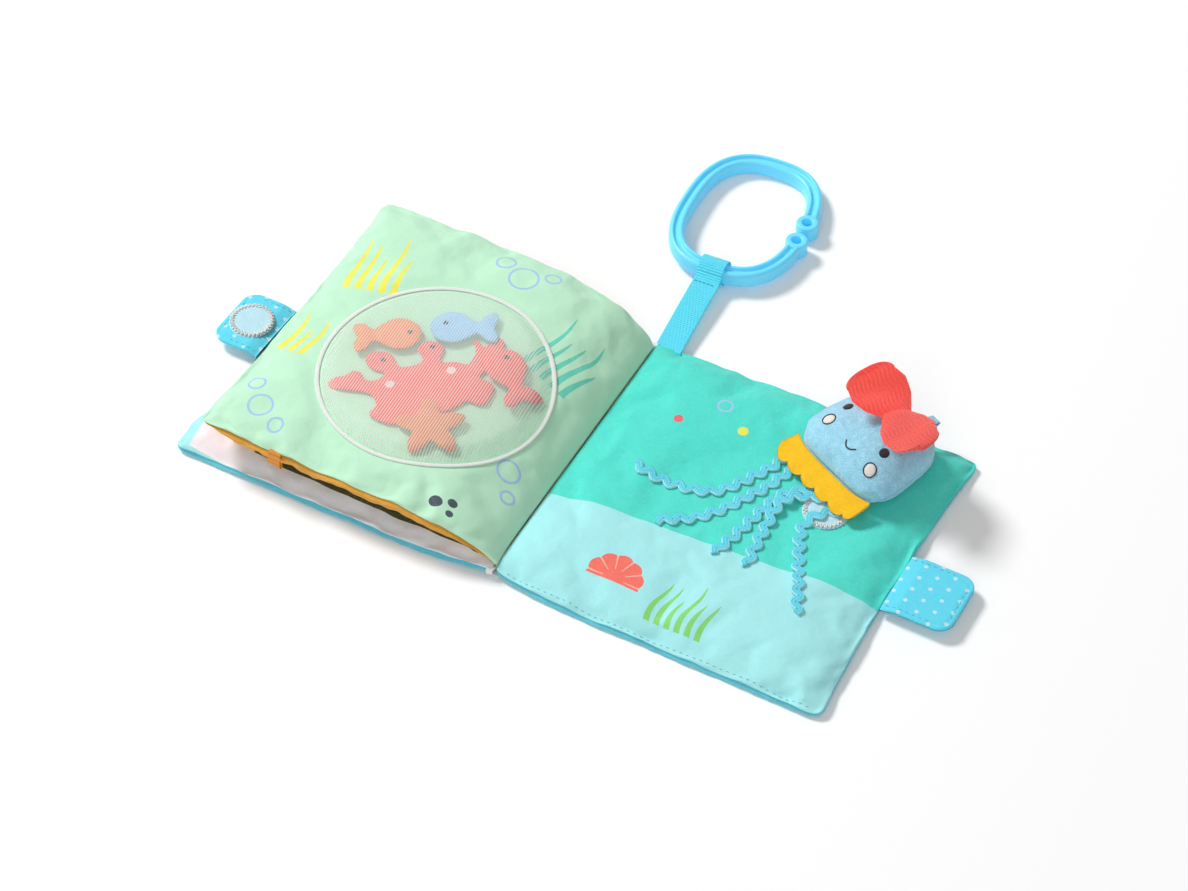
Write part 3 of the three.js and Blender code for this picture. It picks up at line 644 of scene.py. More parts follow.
RING_RUN = np.array((0, 0.4, 0.8, 1.2, 1.7, 2.5, 3.7, 5.4, 7.6, 10.2))
RING_INSET = np.array((1.3, 0.35, 0, 0.25, 0.9, 2.0, 3.4, 5.3, 7.6, 10.2))
RING_FULL = np.array((0, 0.2, 0.45, 0.75, 1, 1, 1, 1, 1, 1))
CELL = 2.5
SEAM_STEP = 0.95
# How far the lower roll of a hem stands out at each ring of points
ROLL_SHARES = np.array((0, 0.7, 1, 1, 0.9, 0.6, 0.3, 0.12, 0.04, 0))


def swell(distance, fold):
    left = 1 - np.clip(distance / fold, 0, 1)
    return np.sqrt(1 - left * left)


def stations(length):
    middle = np.arange(1, round((length - 2 * RING_RUN[-1]) / CELL))
    gap = (length - 2 * RING_RUN[-1]) / (len(middle) + 1)
    return np.concatenate((RING_RUN, RING_RUN[-1] + middle * gap, length - RING_RUN[::-1]))


class Leaf:
    """A stuffed leaf in plan: u runs from the spine outwards and v along the spine."""

    def __init__(self, width, length, fold, corners, place, mid):
        self.width, self.length, self.fold = width, length, fold
        self.place, self.mid = place, mid
        s, t = np.meshgrid(stations(width), stations(length), indexing="ij")
        p, q = np.meshgrid(np.arange(s.shape[0]), np.arange(s.shape[1]), indexing="ij")
        p = np.minimum(p, s.shape[0] - 1 - p)
        q = np.minimum(q, s.shape[1] - 1 - q)
        self.ring = ring = np.minimum(np.minimum(p, q), len(RING_RUN) - 1)
        self.low_s, self.low_t = s < width / 2, t < length / 2
        a = np.where(self.low_s, s, width - s)
        b = np.where(self.low_t, t, length - t)
        pull = RING_RUN[ring] - RING_INSET[ring]
        a = a - pull * np.exp(-(a - RING_RUN[ring]) / 4)
        b = b - pull * np.exp(-(b - RING_RUN[ring]) / 4)
        corner = np.where(self.low_s, corners[0], corners[1])
        i, j = 1 - a / corner, 1 - b / corner
        round_off = (i > 0) & (j > 0)
        self.a = np.where(round_off, corner * (1 - i * np.sqrt(np.clip(1 - j * j / 2, 0, 1))), a)
        self.b = np.where(round_off, corner * (1 - j * np.sqrt(np.clip(1 - i * i / 2, 0, 1))), b)
        self.s, self.t = s, t
        self.turned = RING_FULL[ring]
        self.full = swell(np.maximum(self.a, 0.95), fold) * swell(np.maximum(self.b, 0.95), fold)

    def plan(self, wobble):
        wobble = wobble * np.exp(-np.minimum(self.a, self.b) / 7)
        a, b = self.a + wobble, self.b + wobble
        u = np.where(self.low_s, a, self.width - a) / self.width
        v = np.where(self.low_t, b, self.length - b) / self.length
        return (*self.place(u, v), u)

    def height(self, rise):
        return (SEAM_STEP + (rise - SEAM_STEP) * self.full) * self.turned

    def wave(self, period, seed):
        """Slow noise along the free sides, fading inwards."""
        along = np.where(self.a < self.b, self.t, self.s + 400)
        return wander(along, period, seed) * np.exp(-np.minimum(self.a, self.b) / 3)

    def rolled(self, period, seed):
        """The lower roll of the near hem, gathered into scallops: shares from 0 to 1."""
        along = self.s
        here = self.low_t & (self.b < 9)
        gathers = np.abs(np.sin(math.pi * along / period + 1.3 * wander(along, 21, seed))) ** 0.8
        fade = np.sin(0.5 * math.pi * np.clip(np.minimum(along, self.width - along) / 25, 0, 1))
        return np.where(here, ROLL_SHARES[self.ring], 0) * (0.45 + 0.55 * gathers) * fade


def pucker(leaf, seed, sides):
    """How much the cloth draws in along each side: (period, depth) by side name."""
    total = np.zeros_like(leaf.s)
    runs = {
        "spine": (leaf.a, leaf.t, leaf.low_s),
        "outer": (leaf.a, leaf.t, ~leaf.low_s),
        "near": (leaf.b, leaf.s, leaf.low_t),
        "far": (leaf.b, leaf.s, ~leaf.low_t),
    }
    for number, (name, (distance, along, here)) in enumerate(runs.items()):
        for turn, (period, depth, reach) in enumerate(sides.get(name, ())):
            wave = wander(along + 0.22 * distance, period, seed + 31 * number + 7 * turn)
            share = np.clip(distance / 1.2, 0.25, 1) * np.exp(-np.maximum(distance - 2, 0) / reach)
            total += np.where(here, wave * depth * share, 0)
    return total


# Creases of each leaf: the two ends, the depth and the width
CREASES = {
    "right_cover": (
        ((14, -74), (30, -48), 0.9, 4.5), ((38, -75), (44, -60), 0.6, 3.5),
        ((70, 56), (84, 30), 0.8, 5), ((120, 70), (138, 52), 0.9, 5),
        ((128, -60), (146, -40), 0.7, 4.5), ((10, 30), (26, 62), 0.7, 5),
        ((134, 2), (150, 14), 0.6, 4),
    ),
    "left_cover": (((-146, -50), (-128, -68), 0.8, 4.5), ((-70, -76), (-62, -60), 0.7, 4)),
    "page": (
        ((-128, -70), (-112, -50), 0.9, 4.5), ((-52, -73), (-46, -60), 0.9, 4),
        ((-24, -72), (-20, -52), 0.8, 4), ((-80, 74), (-74, 56), 0.8, 4),
        ((-30, 73), (-26, 50), 0.7, 4.5), ((-136, 30), (-122, 36), 0.6, 4),
    ),
    "toy_head": (),
}


def creased(name, x, y):
    """How far the creases of a leaf lower its front cloth, as negative heights."""
    total = 0
    for start, end, depth, width in CREASES[name]:
        distance, share = to_segment(x, y, start, end)
        fade = np.sin(math.pi * np.clip(share, 0.02, 0.98)) ** 0.6
        total = total + -depth * bump_shape(distance, width) * fade
    return total


def blurred(field, size):
    """A grid field smoothed over about size cells each way."""
    weights = np.exp(-0.5 * (np.arange(-2 * size, 2 * size + 1) / size) ** 2)
    weights /= weights.sum()
    for axis in (0, 1):
        padded = np.concatenate([
            np.repeat(np.take(field, [0], axis), 2 * size, axis),
            field,
            np.repeat(np.take(field, [-1], axis), 2 * size, axis),
        ], axis)
        length = field.shape[axis]
        field = sum(
            w * np.take(padded, np.arange(k, k + length), axis) for k, w in enumerate(weights)
        )
    return field


SIM_FRAMES = 20
SIM_PRESSURE = 4
SIM_GROWTH = -0.035
SIM_CAP = 1.5


def simulated(name, front, back, flip):
    """Both panels' movement once the closed leaf is blown up with its seam held."""
    rows, columns = front.shape[:2]
    points = np.concatenate((front.reshape(-1, 3), back.reshape(-1, 3)))
    number = np.arange(rows * columns).reshape(rows, columns)
    edge = np.zeros((rows, columns), bool)
    edge[[0, -1], :] = edge[:, [0, -1]] = True
    other = np.where(edge, number, number + rows * columns)
    faces = []
    for i in range(rows - 1):
        for j in range(columns - 1):
            corner = ((i, j), (i + 1, j), (i + 1, j + 1), (i, j + 1))
            corner = corner[::-1] if flip else corner
            faces.append([int(number[c]) for c in corner])
            faces.append([int(other[c]) for c in corner][::-1])
    used = sorted({k for face in faces for k in face})
    place = {k: n for n, k in enumerate(used)}
    mesh = bpy.data.meshes.new(name)
    mesh.from_pydata((points[used] * MM).tolist(), [], [[place[k] for k in f] for f in faces])
    holder = bpy.data.objects.new(name, mesh)
    bpy.context.scene.collection.objects.link(holder)
    held = holder.vertex_groups.new(name="seam")
    held.add([place[int(k)] for k in number[edge]], 1.0, "REPLACE")
    cloth = holder.modifiers.new("cloth", "CLOTH")
    settings = {
        "quality": 6, "mass": 0.15, "tension_stiffness": 25, "compression_stiffness": 25,
        "shear_stiffness": 15, "bending_stiffness": 0.15, "use_pressure": True,
        "uniform_pressure_force": SIM_PRESSURE, "shrink_min": SIM_GROWTH,
        "vertex_group_mass": "seam",
    }
    for key, value in settings.items():
        setattr(cloth.settings, key, value)
    cloth.settings.effector_weights.gravity = 0
    cloth.collision_settings.use_collision = False
    cloth.collision_settings.use_self_collision = False
    cloth.point_cache.frame_end = SIM_FRAMES
    scene = bpy.context.scene
    for number_of_frame in range(1, SIM_FRAMES + 1):
        scene.frame_set(number_of_frame)
    graph = bpy.context.evaluated_depsgraph_get()
    blown = holder.evaluated_get(graph).to_mesh()
    full = points.copy()
    full[used] = np.array([vertex.co for vertex in blown.vertices]) / MM
    shift = full - points
    bpy.data.objects.remove(holder)
    bpy.data.meshes.remove(mesh)
    scene.frame_set(1)
    half = rows * columns
    return shift[:half].reshape(front.shape), shift[half:].reshape(back.shape)


def fine_part(shift):
    """The small folds of a movement, without its overall swelling, and capped."""
    folds = shift - blurred(shift, 5)
    size = np.linalg.norm(folds, axis=-1, keepdims=True)
    return folds * np.minimum(1, SIM_CAP / np.maximum(size, 1e-9))


surfaces = {}


def sunk(leaf, name, fall):
    """How far the leaf's free sides lie below its middle height."""
    if name == "page":
        along = np.sin(math.pi * np.clip(leaf.s / leaf.width, 0, 1))
        return fall * along * np.exp(-leaf.b / 14) * leaf.low_t
    ends = np.exp(-leaf.b / 5) * np.clip(leaf.s / 20, 0, 1)
    outer = np.where(leaf.low_s, 0, 0.7 * np.exp(-leaf.a / 5))
    return fall * np.maximum(ends, outer)


def add_panels(leaf, name, sizes, puckers, calm, looks, body, spine=(0, 0), hem=(0, 0), fall=0):
    """A leaf's front and back cloth, which share the seam between them.

    calm(x, y) gives how much of the folds each cloth keeps. spine is how far the spine
    side moves out and up, hem how far the lower roll of the near hem stands out and how
    much fuller it is, and fall how low its free sides sink. body is the body's name and
    whether the leaf runs to the left.
    """
    rise, sink = sizes
    x, y, u = leaf.plan(puckers["edge"])
    by_spine = np.where(leaf.low_s, leaf.s, 99)
    x = x + spine[0] * np.exp(-by_spine / 2.2)
    mid = leaf.mid(u)
    if spine[0]:
        mid = mid + 0.4 * leaf.wave(12, len(name)) * (by_spine > 12)
    mid = mid - sunk(leaf, name, fall)
    front_lift = leaf.height(rise) + spine[1] * np.exp(-by_spine / 2.2)
    roll = leaf.rolled(7.2, len(name))
    back_lift = leaf.height(sink) * (1 + hem[1] * roll) - spine[1] * np.exp(-by_spine / 0.9)
    front = np.stack((x, y, mid + front_lift), axis=-1)
    back = np.stack((x, y - hem[0] * roll, mid - back_lift), axis=-1)
    front_shift, back_shift = simulated(name, front, back, body[1])
    quiet = calm(x, y)
    loose = leaf.turned * (np.clip(leaf.s / 9, 0.1, 1) if spine[0] else 1)
    front = front + fine_part(front_shift) * (quiet[0] * loose)[..., None]
    back = back + fine_part(back_shift) * (quiet[1] * loose)[..., None]
    front[..., 2] += (puckers["front"] + creased(name, x, y)) * quiet[0] * loose
    back[..., 2] -= puckers["back"] * quiet[1] * loose
    back[..., 2] = np.maximum(back[..., 2], 0.0)
    for side, grid, flip in (("front", front, body[1]), ("back", back, not body[1])):
        piece_name, nodes, paint, slot = looks[side]
        shape = refine(grid.reshape(-1, 3), grid_faces(*x.shape, flip=flip))
        piece = add_piece(piece_name, shape, paint, slot, body[0], nodes)
        surfaces[piece_name] = BVHTree.FromPolygons(shape[0].tolist(), shape[1])


def surface_height(name, x, y):
    """Height of a panel's cloth over a point of the plan."""
    found = surfaces[name].ray_cast(Vector((x, y, 90)), Vector((0, 0, -1)))
    return found[0].z if found[0] else None


SPINE_GAP = 0.8
COVER = {"width": 149.2, "length": 152, "rise": 4.6, "sink": 3.6, "fold": 14, "middle": 3.6}
PAGE = {"width": 137.6, "length": 148, "rise": 4.4, "sink": 3.4, "fold": 15}
PAGE_SPINE, PAGE_HEIGHT, PAGE_RAMP = 8, 23.5, 50
# How far a leaf leans along the spine and how its outer edge is skewed
RIGHT_PLAN, LEFT_PLAN, PAGE_PLAN = (2, 0), (0, 0.036), (1, 0.02)
SPINE_DRAW = 4.5


def leaf_plan(side, size, side_bow, end_bow, lean, skew):
    def place(u, v):
        across = 2 * v - 1
        bow = side_bow * (1 - across**2) * u**3
        drawn = SPINE_DRAW * (1 - u) ** 6 + end_bow * 4 * u * (1 - u)
        x = side * (SPINE_GAP + u * size["width"] - bow)
        y = across * (size["length"] / 2 - drawn)
        return x + skew * u * y, y + lean * u

    return place


def page_middle(u):
    climb = 1 - np.minimum(u * PAGE["width"] / PAGE_RAMP, 1)
    return PAGE_SPINE + (PAGE_HEIGHT - PAGE_SPINE) * (1 - climb**2) - 1.5 * u**4


def cover_middle(u):
    return COVER["middle"] + 0 * u


WINDOW = (-63.5, -7.5)
WINDOW_RADIUS = 51
TOY_PLACE = (104, 31)


def hushed(x, y, centre, low, high):
    """0 within low of the centre and 1 beyond high."""
    far = np.clip((np.hypot(x - centre[0], y - centre[1]) - low) / (high - low), 0, 1)
    return far * far * (3 - 2 * far)


def make_cover(side, name, plan, seed, calm, spine):
    leaf = Leaf(COVER["width"], COVER["length"], COVER["fold"], (2.5, 5.2),
                leaf_plan(side, COVER, 3, 1, *plan), cover_middle)
    hem = (7, 0.4, 6), (16, 0.6, 8)
    edge = pucker(leaf, seed + 3, {"near": hem, "far": hem, "outer": ((8, 0.4, 6), (17, 0.6, 8))})
    front = pucker(leaf, seed, {
        "near": ((6, 0.6, 5), (12, 1.2, 9), (35, 0.9, 18)),
        "far": ((6, 0.55, 5), (12, 1.1, 9), (35, 0.9, 18)),
        "outer": ((6.5, 0.5, 5), (14, 1, 9), (40, 0.7, 16)), "spine": ((9, 0.6, 9),),
    })
    low = (6, 0.4, 4), (13, 0.5, 8)
    back = pucker(leaf, seed + 9, {"near": ((6, 0.45, 4), low[1]), "far": low, "outer": low})
    from_edge = np.where(leaf.low_s, leaf.b, np.minimum(leaf.a, leaf.b))
    channel = -0.6 * bump_shape(from_edge - 2.6, 1)
    puckers = {"edge": edge, "front": front + channel, "back": back + channel * 0.4}
    nodes = [f"{name}_{part}" for part in ("inner_panel", "crinkle_film", "wadding", "outer_panel")]
    word = name.removesuffix("_cover")
    looks = {
        "front": (f"{name}_inner_cloth", nodes[:3], f"{word}_cloth", f"{word}_print"),
        "back": (f"{name}_outer_cloth", nodes[3:], "outer_cloth", "outer_cloth"),
    }
    add_panels(leaf, name, (COVER["rise"], COVER["sink"]), puckers, calm, looks,
               (name, side < 0), spine, (0.9, 0.5), 1.5)


def page_calm(x, y):
    return hushed(x, y, WINDOW, WINDOW_RADIUS - 1, WINDOW_RADIUS + 6), 1


def right_calm(x, y):
    return 0.25 + 0.75 * hushed(x, y, (106, 36), 22, 44), 0.4


def left_calm(*_):
    return 1, 0.4


make_cover(1, "right_cover", RIGHT_PLAN, 11, right_calm, (-0.75, 0.9))
make_cover(-1, "left_cover", LEFT_PLAN, 47, left_calm, (0.01, 0))


def make_page():
    leaf = Leaf(PAGE["width"], PAGE["length"], PAGE["fold"], (2.5, 5),
                leaf_plan(-1, PAGE, 2, 0, *PAGE_PLAN), page_middle)
    puckers = {
        "edge": pucker(leaf, 83, {
            "near": ((5.6, 0.45, 5), (13, 0.7, 8)), "far": ((6, 0.5, 5), (11, 0.8, 8)),
            "outer": ((8, 0.4, 6), (15, 0.6, 8)),
        }),
        "front": pucker(leaf, 71, {
            "near": ((5.6, 0.65, 5), (12, 1.4, 9), (33, 1, 18)),
            "far": ((5.6, 0.6, 5), (10.5, 1.2, 9), (33, 0.9, 18)),
            "outer": ((6.5, 0.5, 5), (14, 1, 9), (40, 0.7, 16)), "spine": ((9, 0.6, 9),),
        }),
        "back": pucker(leaf, 77, {
            "near": ((5.6, 0.7, 4), (12, 0.6, 8)), "far": ((5.6, 0.5, 4), (12, 0.5, 8)),
            "outer": ((6, 0.5, 4), (13, 0.5, 8)),
        }),
    }
    held = ["page_front_panel", "page_crinkle_film", "page_wadding"]
    looks = {
        "front": ("page_front_cloth", held, "page_cloth", "page_print"),
        "back": ("page_back_cloth", ["page_back_panel"], "page_back_cloth", "page_back"),
    }
    add_panels(leaf, "page", (PAGE["rise"], PAGE["sink"]), puckers, page_calm, looks,
               ("page", True), (1.1, -4), (1.5, 0.8), 2)


make_page()

# Mesh window


def page_top(x, y, lift):
    return surface_height("page_front_cloth", x, y) + lift


def add_border():
    turns = np.arange(540) / 540 * TURN
    radius = WINDOW_RADIUS - 1.2
    path = np.array([
        (WINDOW[0] + radius * math.cos(t), WINDOW[1] + radius * math.sin(t), 0) for t in turns
    ])
    path[:, 2] = [page_top(x, y, 0.25) for x, y, _ in path]
    around = np.arange(12) / 12 * TURN
    swelling = 1 + 0.14 * np.sin(turns[:, None] * 180 + around[None, :])
    section = np.stack((np.cos(around) * swelling, 0.4 * np.sin(around) * swelling), axis=-1)
    shape = sweep(path, np.cross(UP, tangents(path, True)), section, closed=True)
    add_piece("window_border_cord", shape, "border", "border_cord", "page", ["window_border"])


NET_TOP = 32.15
NET_FLAT = 43


def window_sag(x):
    """How far the page has come down towards the spine at x."""
    return PAGE_HEIGHT - page_middle(-np.asarray(x) / PAGE["width"])


def add_net():
    rings, sides = 30, 120
    radius = WINDOW_RADIUS - 2.7

    def place(ring, angle):
        share = ring / rings
        fall = np.clip((share * radius - NET_FLAT) / (radius - NET_FLAT), 0, 1) ** 1.3
        x = WINDOW[0] + radius * share * math.cos(angle)
        y = WINDOW[1] + radius * share * math.sin(angle)
        top = NET_TOP - float(window_sag(x))
        ripple = 0.2 * math.sin(x / 7.3 + 1) * math.sin(y / 6.1) * (1 - fall)
        return x, y, top + ripple + (page_top(x, y, 0.5) - top) * fall

    shape = disc(rings, sides, (*WINDOW, NET_TOP), place)
    net = add_piece("window_net_cloth", shape, "net_cloth", "net", "page", ["window_net"])


add_border()

# Loose felt shapes. Outlines are in shares of each shape's own length.

FISH = [
    (0.5, 0), (0.45, 0.16), (0.3, 0.28), (0.1, 0.3), (-0.08, 0.2), (-0.2, 0.12), (-0.34, 0.25),
    (-0.48, 0.28), (-0.5, 0.14), (-0.44, 0), (-0.5, -0.16), (-0.46, -0.31), (-0.32, -0.26),
    (-0.2, -0.12), (-0.06, -0.2), (0.1, -0.3), (0.3, -0.29), (0.45, -0.17),
]
CRAB = [
    (-0.519, 0.134), (-0.471, 0.151), (-0.415, 0.142), (-0.362, 0.164), (-0.317, 0.14),
    (-0.305, 0.078), (-0.252, 0.056), (-0.185, 0.094), (-0.245, 0.143), (-0.269, 0.208),
    (-0.25, 0.26), (-0.188, 0.276), (-0.123, 0.242), (-0.1, 0.179), (-0.095, 0.123),
    (-0.036, 0.106), (0.03, 0.116), (0.054, 0.158), (0.037, 0.219), (0.071, 0.264),
    (0.132, 0.263), (0.187, 0.219), (0.186, 0.162), (0.151, 0.119), (0.162, 0.078),
    (0.231, 0.062), (0.285, 0.026), (0.335, 0.065), (0.363, 0.127), (0.367, 0.201),
    (0.399, 0.176), (0.415, 0.129), (0.466, 0.151), (0.517, 0.174), (0.538, 0.125),
    (0.508, 0.068), (0.448, 0.005), (0.373, -0.056), (0.329, -0.094), (0.383, -0.147),
    (0.386, -0.197), (0.355, -0.241), (0.316, -0.288), (0.26, -0.285), (0.212, -0.248),
    (0.137, -0.276), (0.034, -0.3), (-0.072, -0.3), (-0.167, -0.298), (-0.236, -0.304),
    (-0.29, -0.271), (-0.343, -0.211), (-0.343, -0.172), (-0.302, -0.145), (-0.292, -0.097),
    (-0.304, -0.044), (-0.342, -0.013), (-0.415, 0.023), (-0.492, 0.066), (-0.522, 0.107),
]
STAR = [
    (reach * math.cos(angle), reach * math.sin(angle))
    for reach, angle in [
        (0.37 + 0.12 * math.cos(math.pi * k / 2), math.pi * k / 10) for k in range(20)
    ]
]
FELT_LOW = 28.25
FELT_STEP = 1.7
# Outline, size, place, turn, level in the pocket, paint and slot
LOOSE = {
    "orange_fish": (FISH, 29, (-91.8, 0.6), 33, 1, "orange_felt", "orange_felt"),
    "blue_fish": (FISH, 29, (-65.2, 19.4), 207, 1, "blue_felt", "blue_felt"),
    "crab": (CRAB, 73, (-67.6, -13.2), 45, 0, "crab_felt", "coral_felt"),
    "coral_fish": (FISH, 29, (-34.9, 5.8), 143, 1, "coral_felt", "coral_felt"),
    "starfish": (STAR, 32, (-49.6, -35.6), 51, 1, "brown_felt", "brown_felt"),
}


def rounded_outline(shares, size, spacing):
    """A closed smooth line through the outline's points."""
    return smooth_path([(x * size, y * size, 0) for x, y in shares], spacing, closed=True)[:, :2]


def puffed(outline, spacing, thickness, edge):
    """A plate over the outline with rounded edges: thickness in the middle, none at its rim."""
    count = len(outline)
    ends = np.roll(outline, -1, axis=0)
    low, high = outline.min(0), outline.max(0)
    inner = np.array([(x, y) for x in np.arange(low[0], high[0], spacing)
                      for y in np.arange(low[1], high[1], spacing)])

    def distance(spots):
        best = np.full(len(spots), 1e9)
        for a, b in zip(outline, ends):
            best = np.minimum(best, to_segment(spots[:, 0], spots[:, 1], a, b)[0])
        return best

    ways = tangents(np.column_stack((outline, np.zeros(count))), closed=True)
    area = np.sum(outline[:, 0] * ends[:, 1] - outline[:, 1] * ends[:, 0])
    normal = np.stack((-ways[:, 1], ways[:, 0]), axis=1) * np.sign(area)
    rings = [(outline + normal * step, 0.8 * step) for step in (0.18, 0.55)]
    rings = [ring[distance(ring) > least] for ring, least in rings]
    crossing = np.zeros(len(inner), bool)
    for a, b in zip(outline, ends):
        spans = (a[1] > inner[:, 1]) != (b[1] > inner[:, 1])
        with np.errstate(divide="ignore", invalid="ignore"):
            at = (b[0] - a[0]) * (inner[:, 1] - a[1]) / (b[1] - a[1]) + a[0]
        crossing ^= spans & (inner[:, 0] < at)
    inner = inner[crossing]
    inner = inner[distance(inner) > 1.0]
    rim = [(k, (k + 1) % count) for k in range(count)]
    spots = [Vector(p) for p in np.vstack([outline, *rings, inner])]
    flat, _, cells, *_ = delaunay_2d_cdt(spots, rim, [], 1, 1e-4)
    flat = np.array([tuple(p) for p in flat])
    depth = swell(distance(flat), edge)
    upper = np.column_stack((flat, thickness * (0.5 + 0.5 * depth)))
    lower = np.column_stack((flat, thickness * (0.5 - 0.5 * swell(distance(flat), 0.8))))
    number = np.arange(len(flat)) + len(flat) * (depth >= 0.02)
    faces = [list(cell) for cell in cells]
    faces += [[int(number[k]) for k in cell][::-1] for cell in cells]
    return np.vstack((upper, lower)), faces


def placed(points, at, degrees, z=0.0):
    """Points turned about +Z and moved, in the book's frame."""
    c, s = math.cos(math.radians(degrees)), math.sin(math.radians(degrees))
    x = points[:, 0] * c - points[:, 1] * s + at[0]
    y = points[:, 0] * s + points[:, 1] * c + at[1]
    return np.column_stack((x, y, points[:, 2] + z))


def add_felt_shapes():
    for name, (shares, size, at, degrees, level, paint, slot) in LOOSE.items():
        points, faces = puffed(rounded_outline(shares, size, 1.2), 1.7, 1.5, 3.2)
        points = placed(points, at, degrees, FELT_LOW + level * FELT_STEP)
        out = np.hypot(points[:, 0] - WINDOW[0], points[:, 1] - WINDOW[1])
        points[:, 2] -= window_sag(points[:, 0]) + 0.35 * np.clip(out - 41, 0, 6)
        add_piece(f"{name}_felt", (points, faces), paint, slot, name, [f"felt_{name}"])


add_felt_shapes()
add_net()

# Toy. Its own frame lies on the right cover: x along the skirt, y towards the fins.

TOY_TURN = -25.5
TOY_FLOOR = 8.2
HEAD = {"width": 54, "top": 45.5, "length": 45.5, "offset": -3.5, "bottom": 0.5}
HEAD_RISE, HEAD_SINK, HEAD_FOLD, HEAD_SEAM = 15, 6, 22, 7.4
HEAD_CORNER = 0.13


def on_toy(points):
    return placed(np.asarray(points, float), TOY_PLACE, TOY_TURN, TOY_FLOOR)


def head_place(u, v):
    a, b = 2 * u - 1, 2 * v - 1
    width = HEAD["width"] + (HEAD["top"] - HEAD["width"]) * v
    x = HEAD["offset"] - 1.5 * v * v + width / 2 * a * (1 - HEAD_CORNER * b**4)
    y = HEAD["bottom"] + HEAD["length"] / 2 * (1 + b * (1 - HEAD_CORNER * a**4))
    flat = placed(np.stack((x, y, 0 * x), -1).reshape(-1, 3), TOY_PLACE, TOY_TURN)
    return flat[:, :2].T.reshape(2, *x.shape)


def add_head():
    leaf = Leaf(HEAD["width"], HEAD["length"], HEAD_FOLD, (8, 8), head_place,
                lambda u: HEAD_SEAM + TOY_FLOOR + 0 * u)
    sides = ("spine", "outer", "near", "far")
    puckers = {
        "edge": 0 * leaf.s,
        "front": pucker(leaf, 131, {side: ((4.5, 0.35, 3), (9, 0.5, 5)) for side in sides}),
        "back": pucker(leaf, 137, {side: ((4.5, 0.3, 3), (9, 0.4, 5)) for side in sides}),
    }
    looks = {
        "front": ("toy_head_front", ["toy_front", "toy_stuffing"], "plush", "plush"),
        "back": ("toy_head_back", ["toy_back"], "plush", "plush"),
    }
    add_panels(leaf, "toy_head", (HEAD_RISE, HEAD_SINK), puckers, lambda *_: (0.7, 0.5), looks,
               ("toy", False))


add_head()


def head_spot(x, y, lift=0.0):
    """A place on the head's front, from the toy's own x and y."""
    wx, wy, _ = on_toy([(x, y, 0)])[0]
    return np.array((wx, wy, surface_height("toy_head_front", wx, wy) + lift))


def toy_line(spots, lift):
    """A line over the head through places in the toy's frame."""
    flat = smooth_path([(x, y, 0) for x, y in spots], 0.4)
    return np.array([head_spot(x, y, lift) for x, y, _ in flat])


def face_patch(centre, width, length, thickness, lift=0.1):
    """A small domed patch that follows the plush, as points and faces."""
    rings, sides = 5, 28

    def place(ring, angle):
        share = ring / rings
        x = centre[0] + width / 2 * share * math.cos(angle)
        y = centre[1] + length / 2 * share * math.sin(angle)
        return head_spot(x, y, lift + thickness * math.sqrt(1 - share**2) - 0.25 * share**4)

    return disc(rings, sides, head_spot(*centre, lift + thickness), place)


EYES = ((-18.6, 21.5), (10.2, 17.5))
EYE_WIDTH, EYE_LENGTH = 4.4, 5
SMILE = ((-5, 9.8), (-3.9, 8.6), (-2.6, 7.9), (-0.6, 8.1), (1.5, 9.6))
CHEEKS = ((-18.9, 11.7), (12, 8.7))
CHEEK_WIDTH = 5.2
CHEEK_LINE = CHEEK_WIDTH / 2 + 0.05


def add_face():
    eyes = [face_patch(centre, EYE_WIDTH, EYE_LENGTH, 0.5) for centre in EYES]
    smile = toy_line(SMILE, 0.12)
    mouth = sweep(smile, np.cross(UP, tangents(smile)), oval_section(0.65, 0.5, 8))
    add_piece("toy_eyes_and_mouth", joined([*eyes, mouth]), "ink_felt", "plush", "toy")
    cheeks = [face_patch(centre, CHEEK_WIDTH, CHEEK_WIDTH, 0.4) for centre in CHEEKS]
    add_piece("toy_cheeks", joined(cheeks), "cheek_felt", "plush", "toy")
    rims = []
    for cx, cy in CHEEKS:
        ring = np.array([
            head_spot(cx + CHEEK_LINE * math.cos(t), cy + CHEEK_LINE * math.sin(t), 0.15)
            for t in np.arange(40) / 40 * TURN
        ])
        across = np.cross(UP, tangents(ring, True))
        rims.append(sweep(ring, across, oval_section(0.55, 0.5, 6), closed=True))
    add_piece("toy_cheek_outlines", joined(rims), "ink_felt", "plush", "toy")


add_face()

FIN_LENGTH, FIN_WIDTH, FIN_THICKNESS = 24.5, 28.5, 2.2
FIN_ROOT_Y, FIN_CUP = 35, 2
FIN_OUT = np.array((0, 0.12, 0.32, 0.58, 0.8, 0.94, 1))
FIN_WIDE = np.array((0.42, 0.6, 0.86, 1, 0.86, 0.5, 0.2))


def head_top(y):
    share = (y - HEAD["bottom"]) / HEAD["length"]
    edge = min(0.5, share, 1 - share) * HEAD["length"]
    full = swell(0.5 * HEAD["width"], HEAD_FOLD) * swell(max(edge, 0), HEAD_FOLD)
    return HEAD_SEAM + SEAM_STEP + (HEAD_RISE - SEAM_STEP) * full


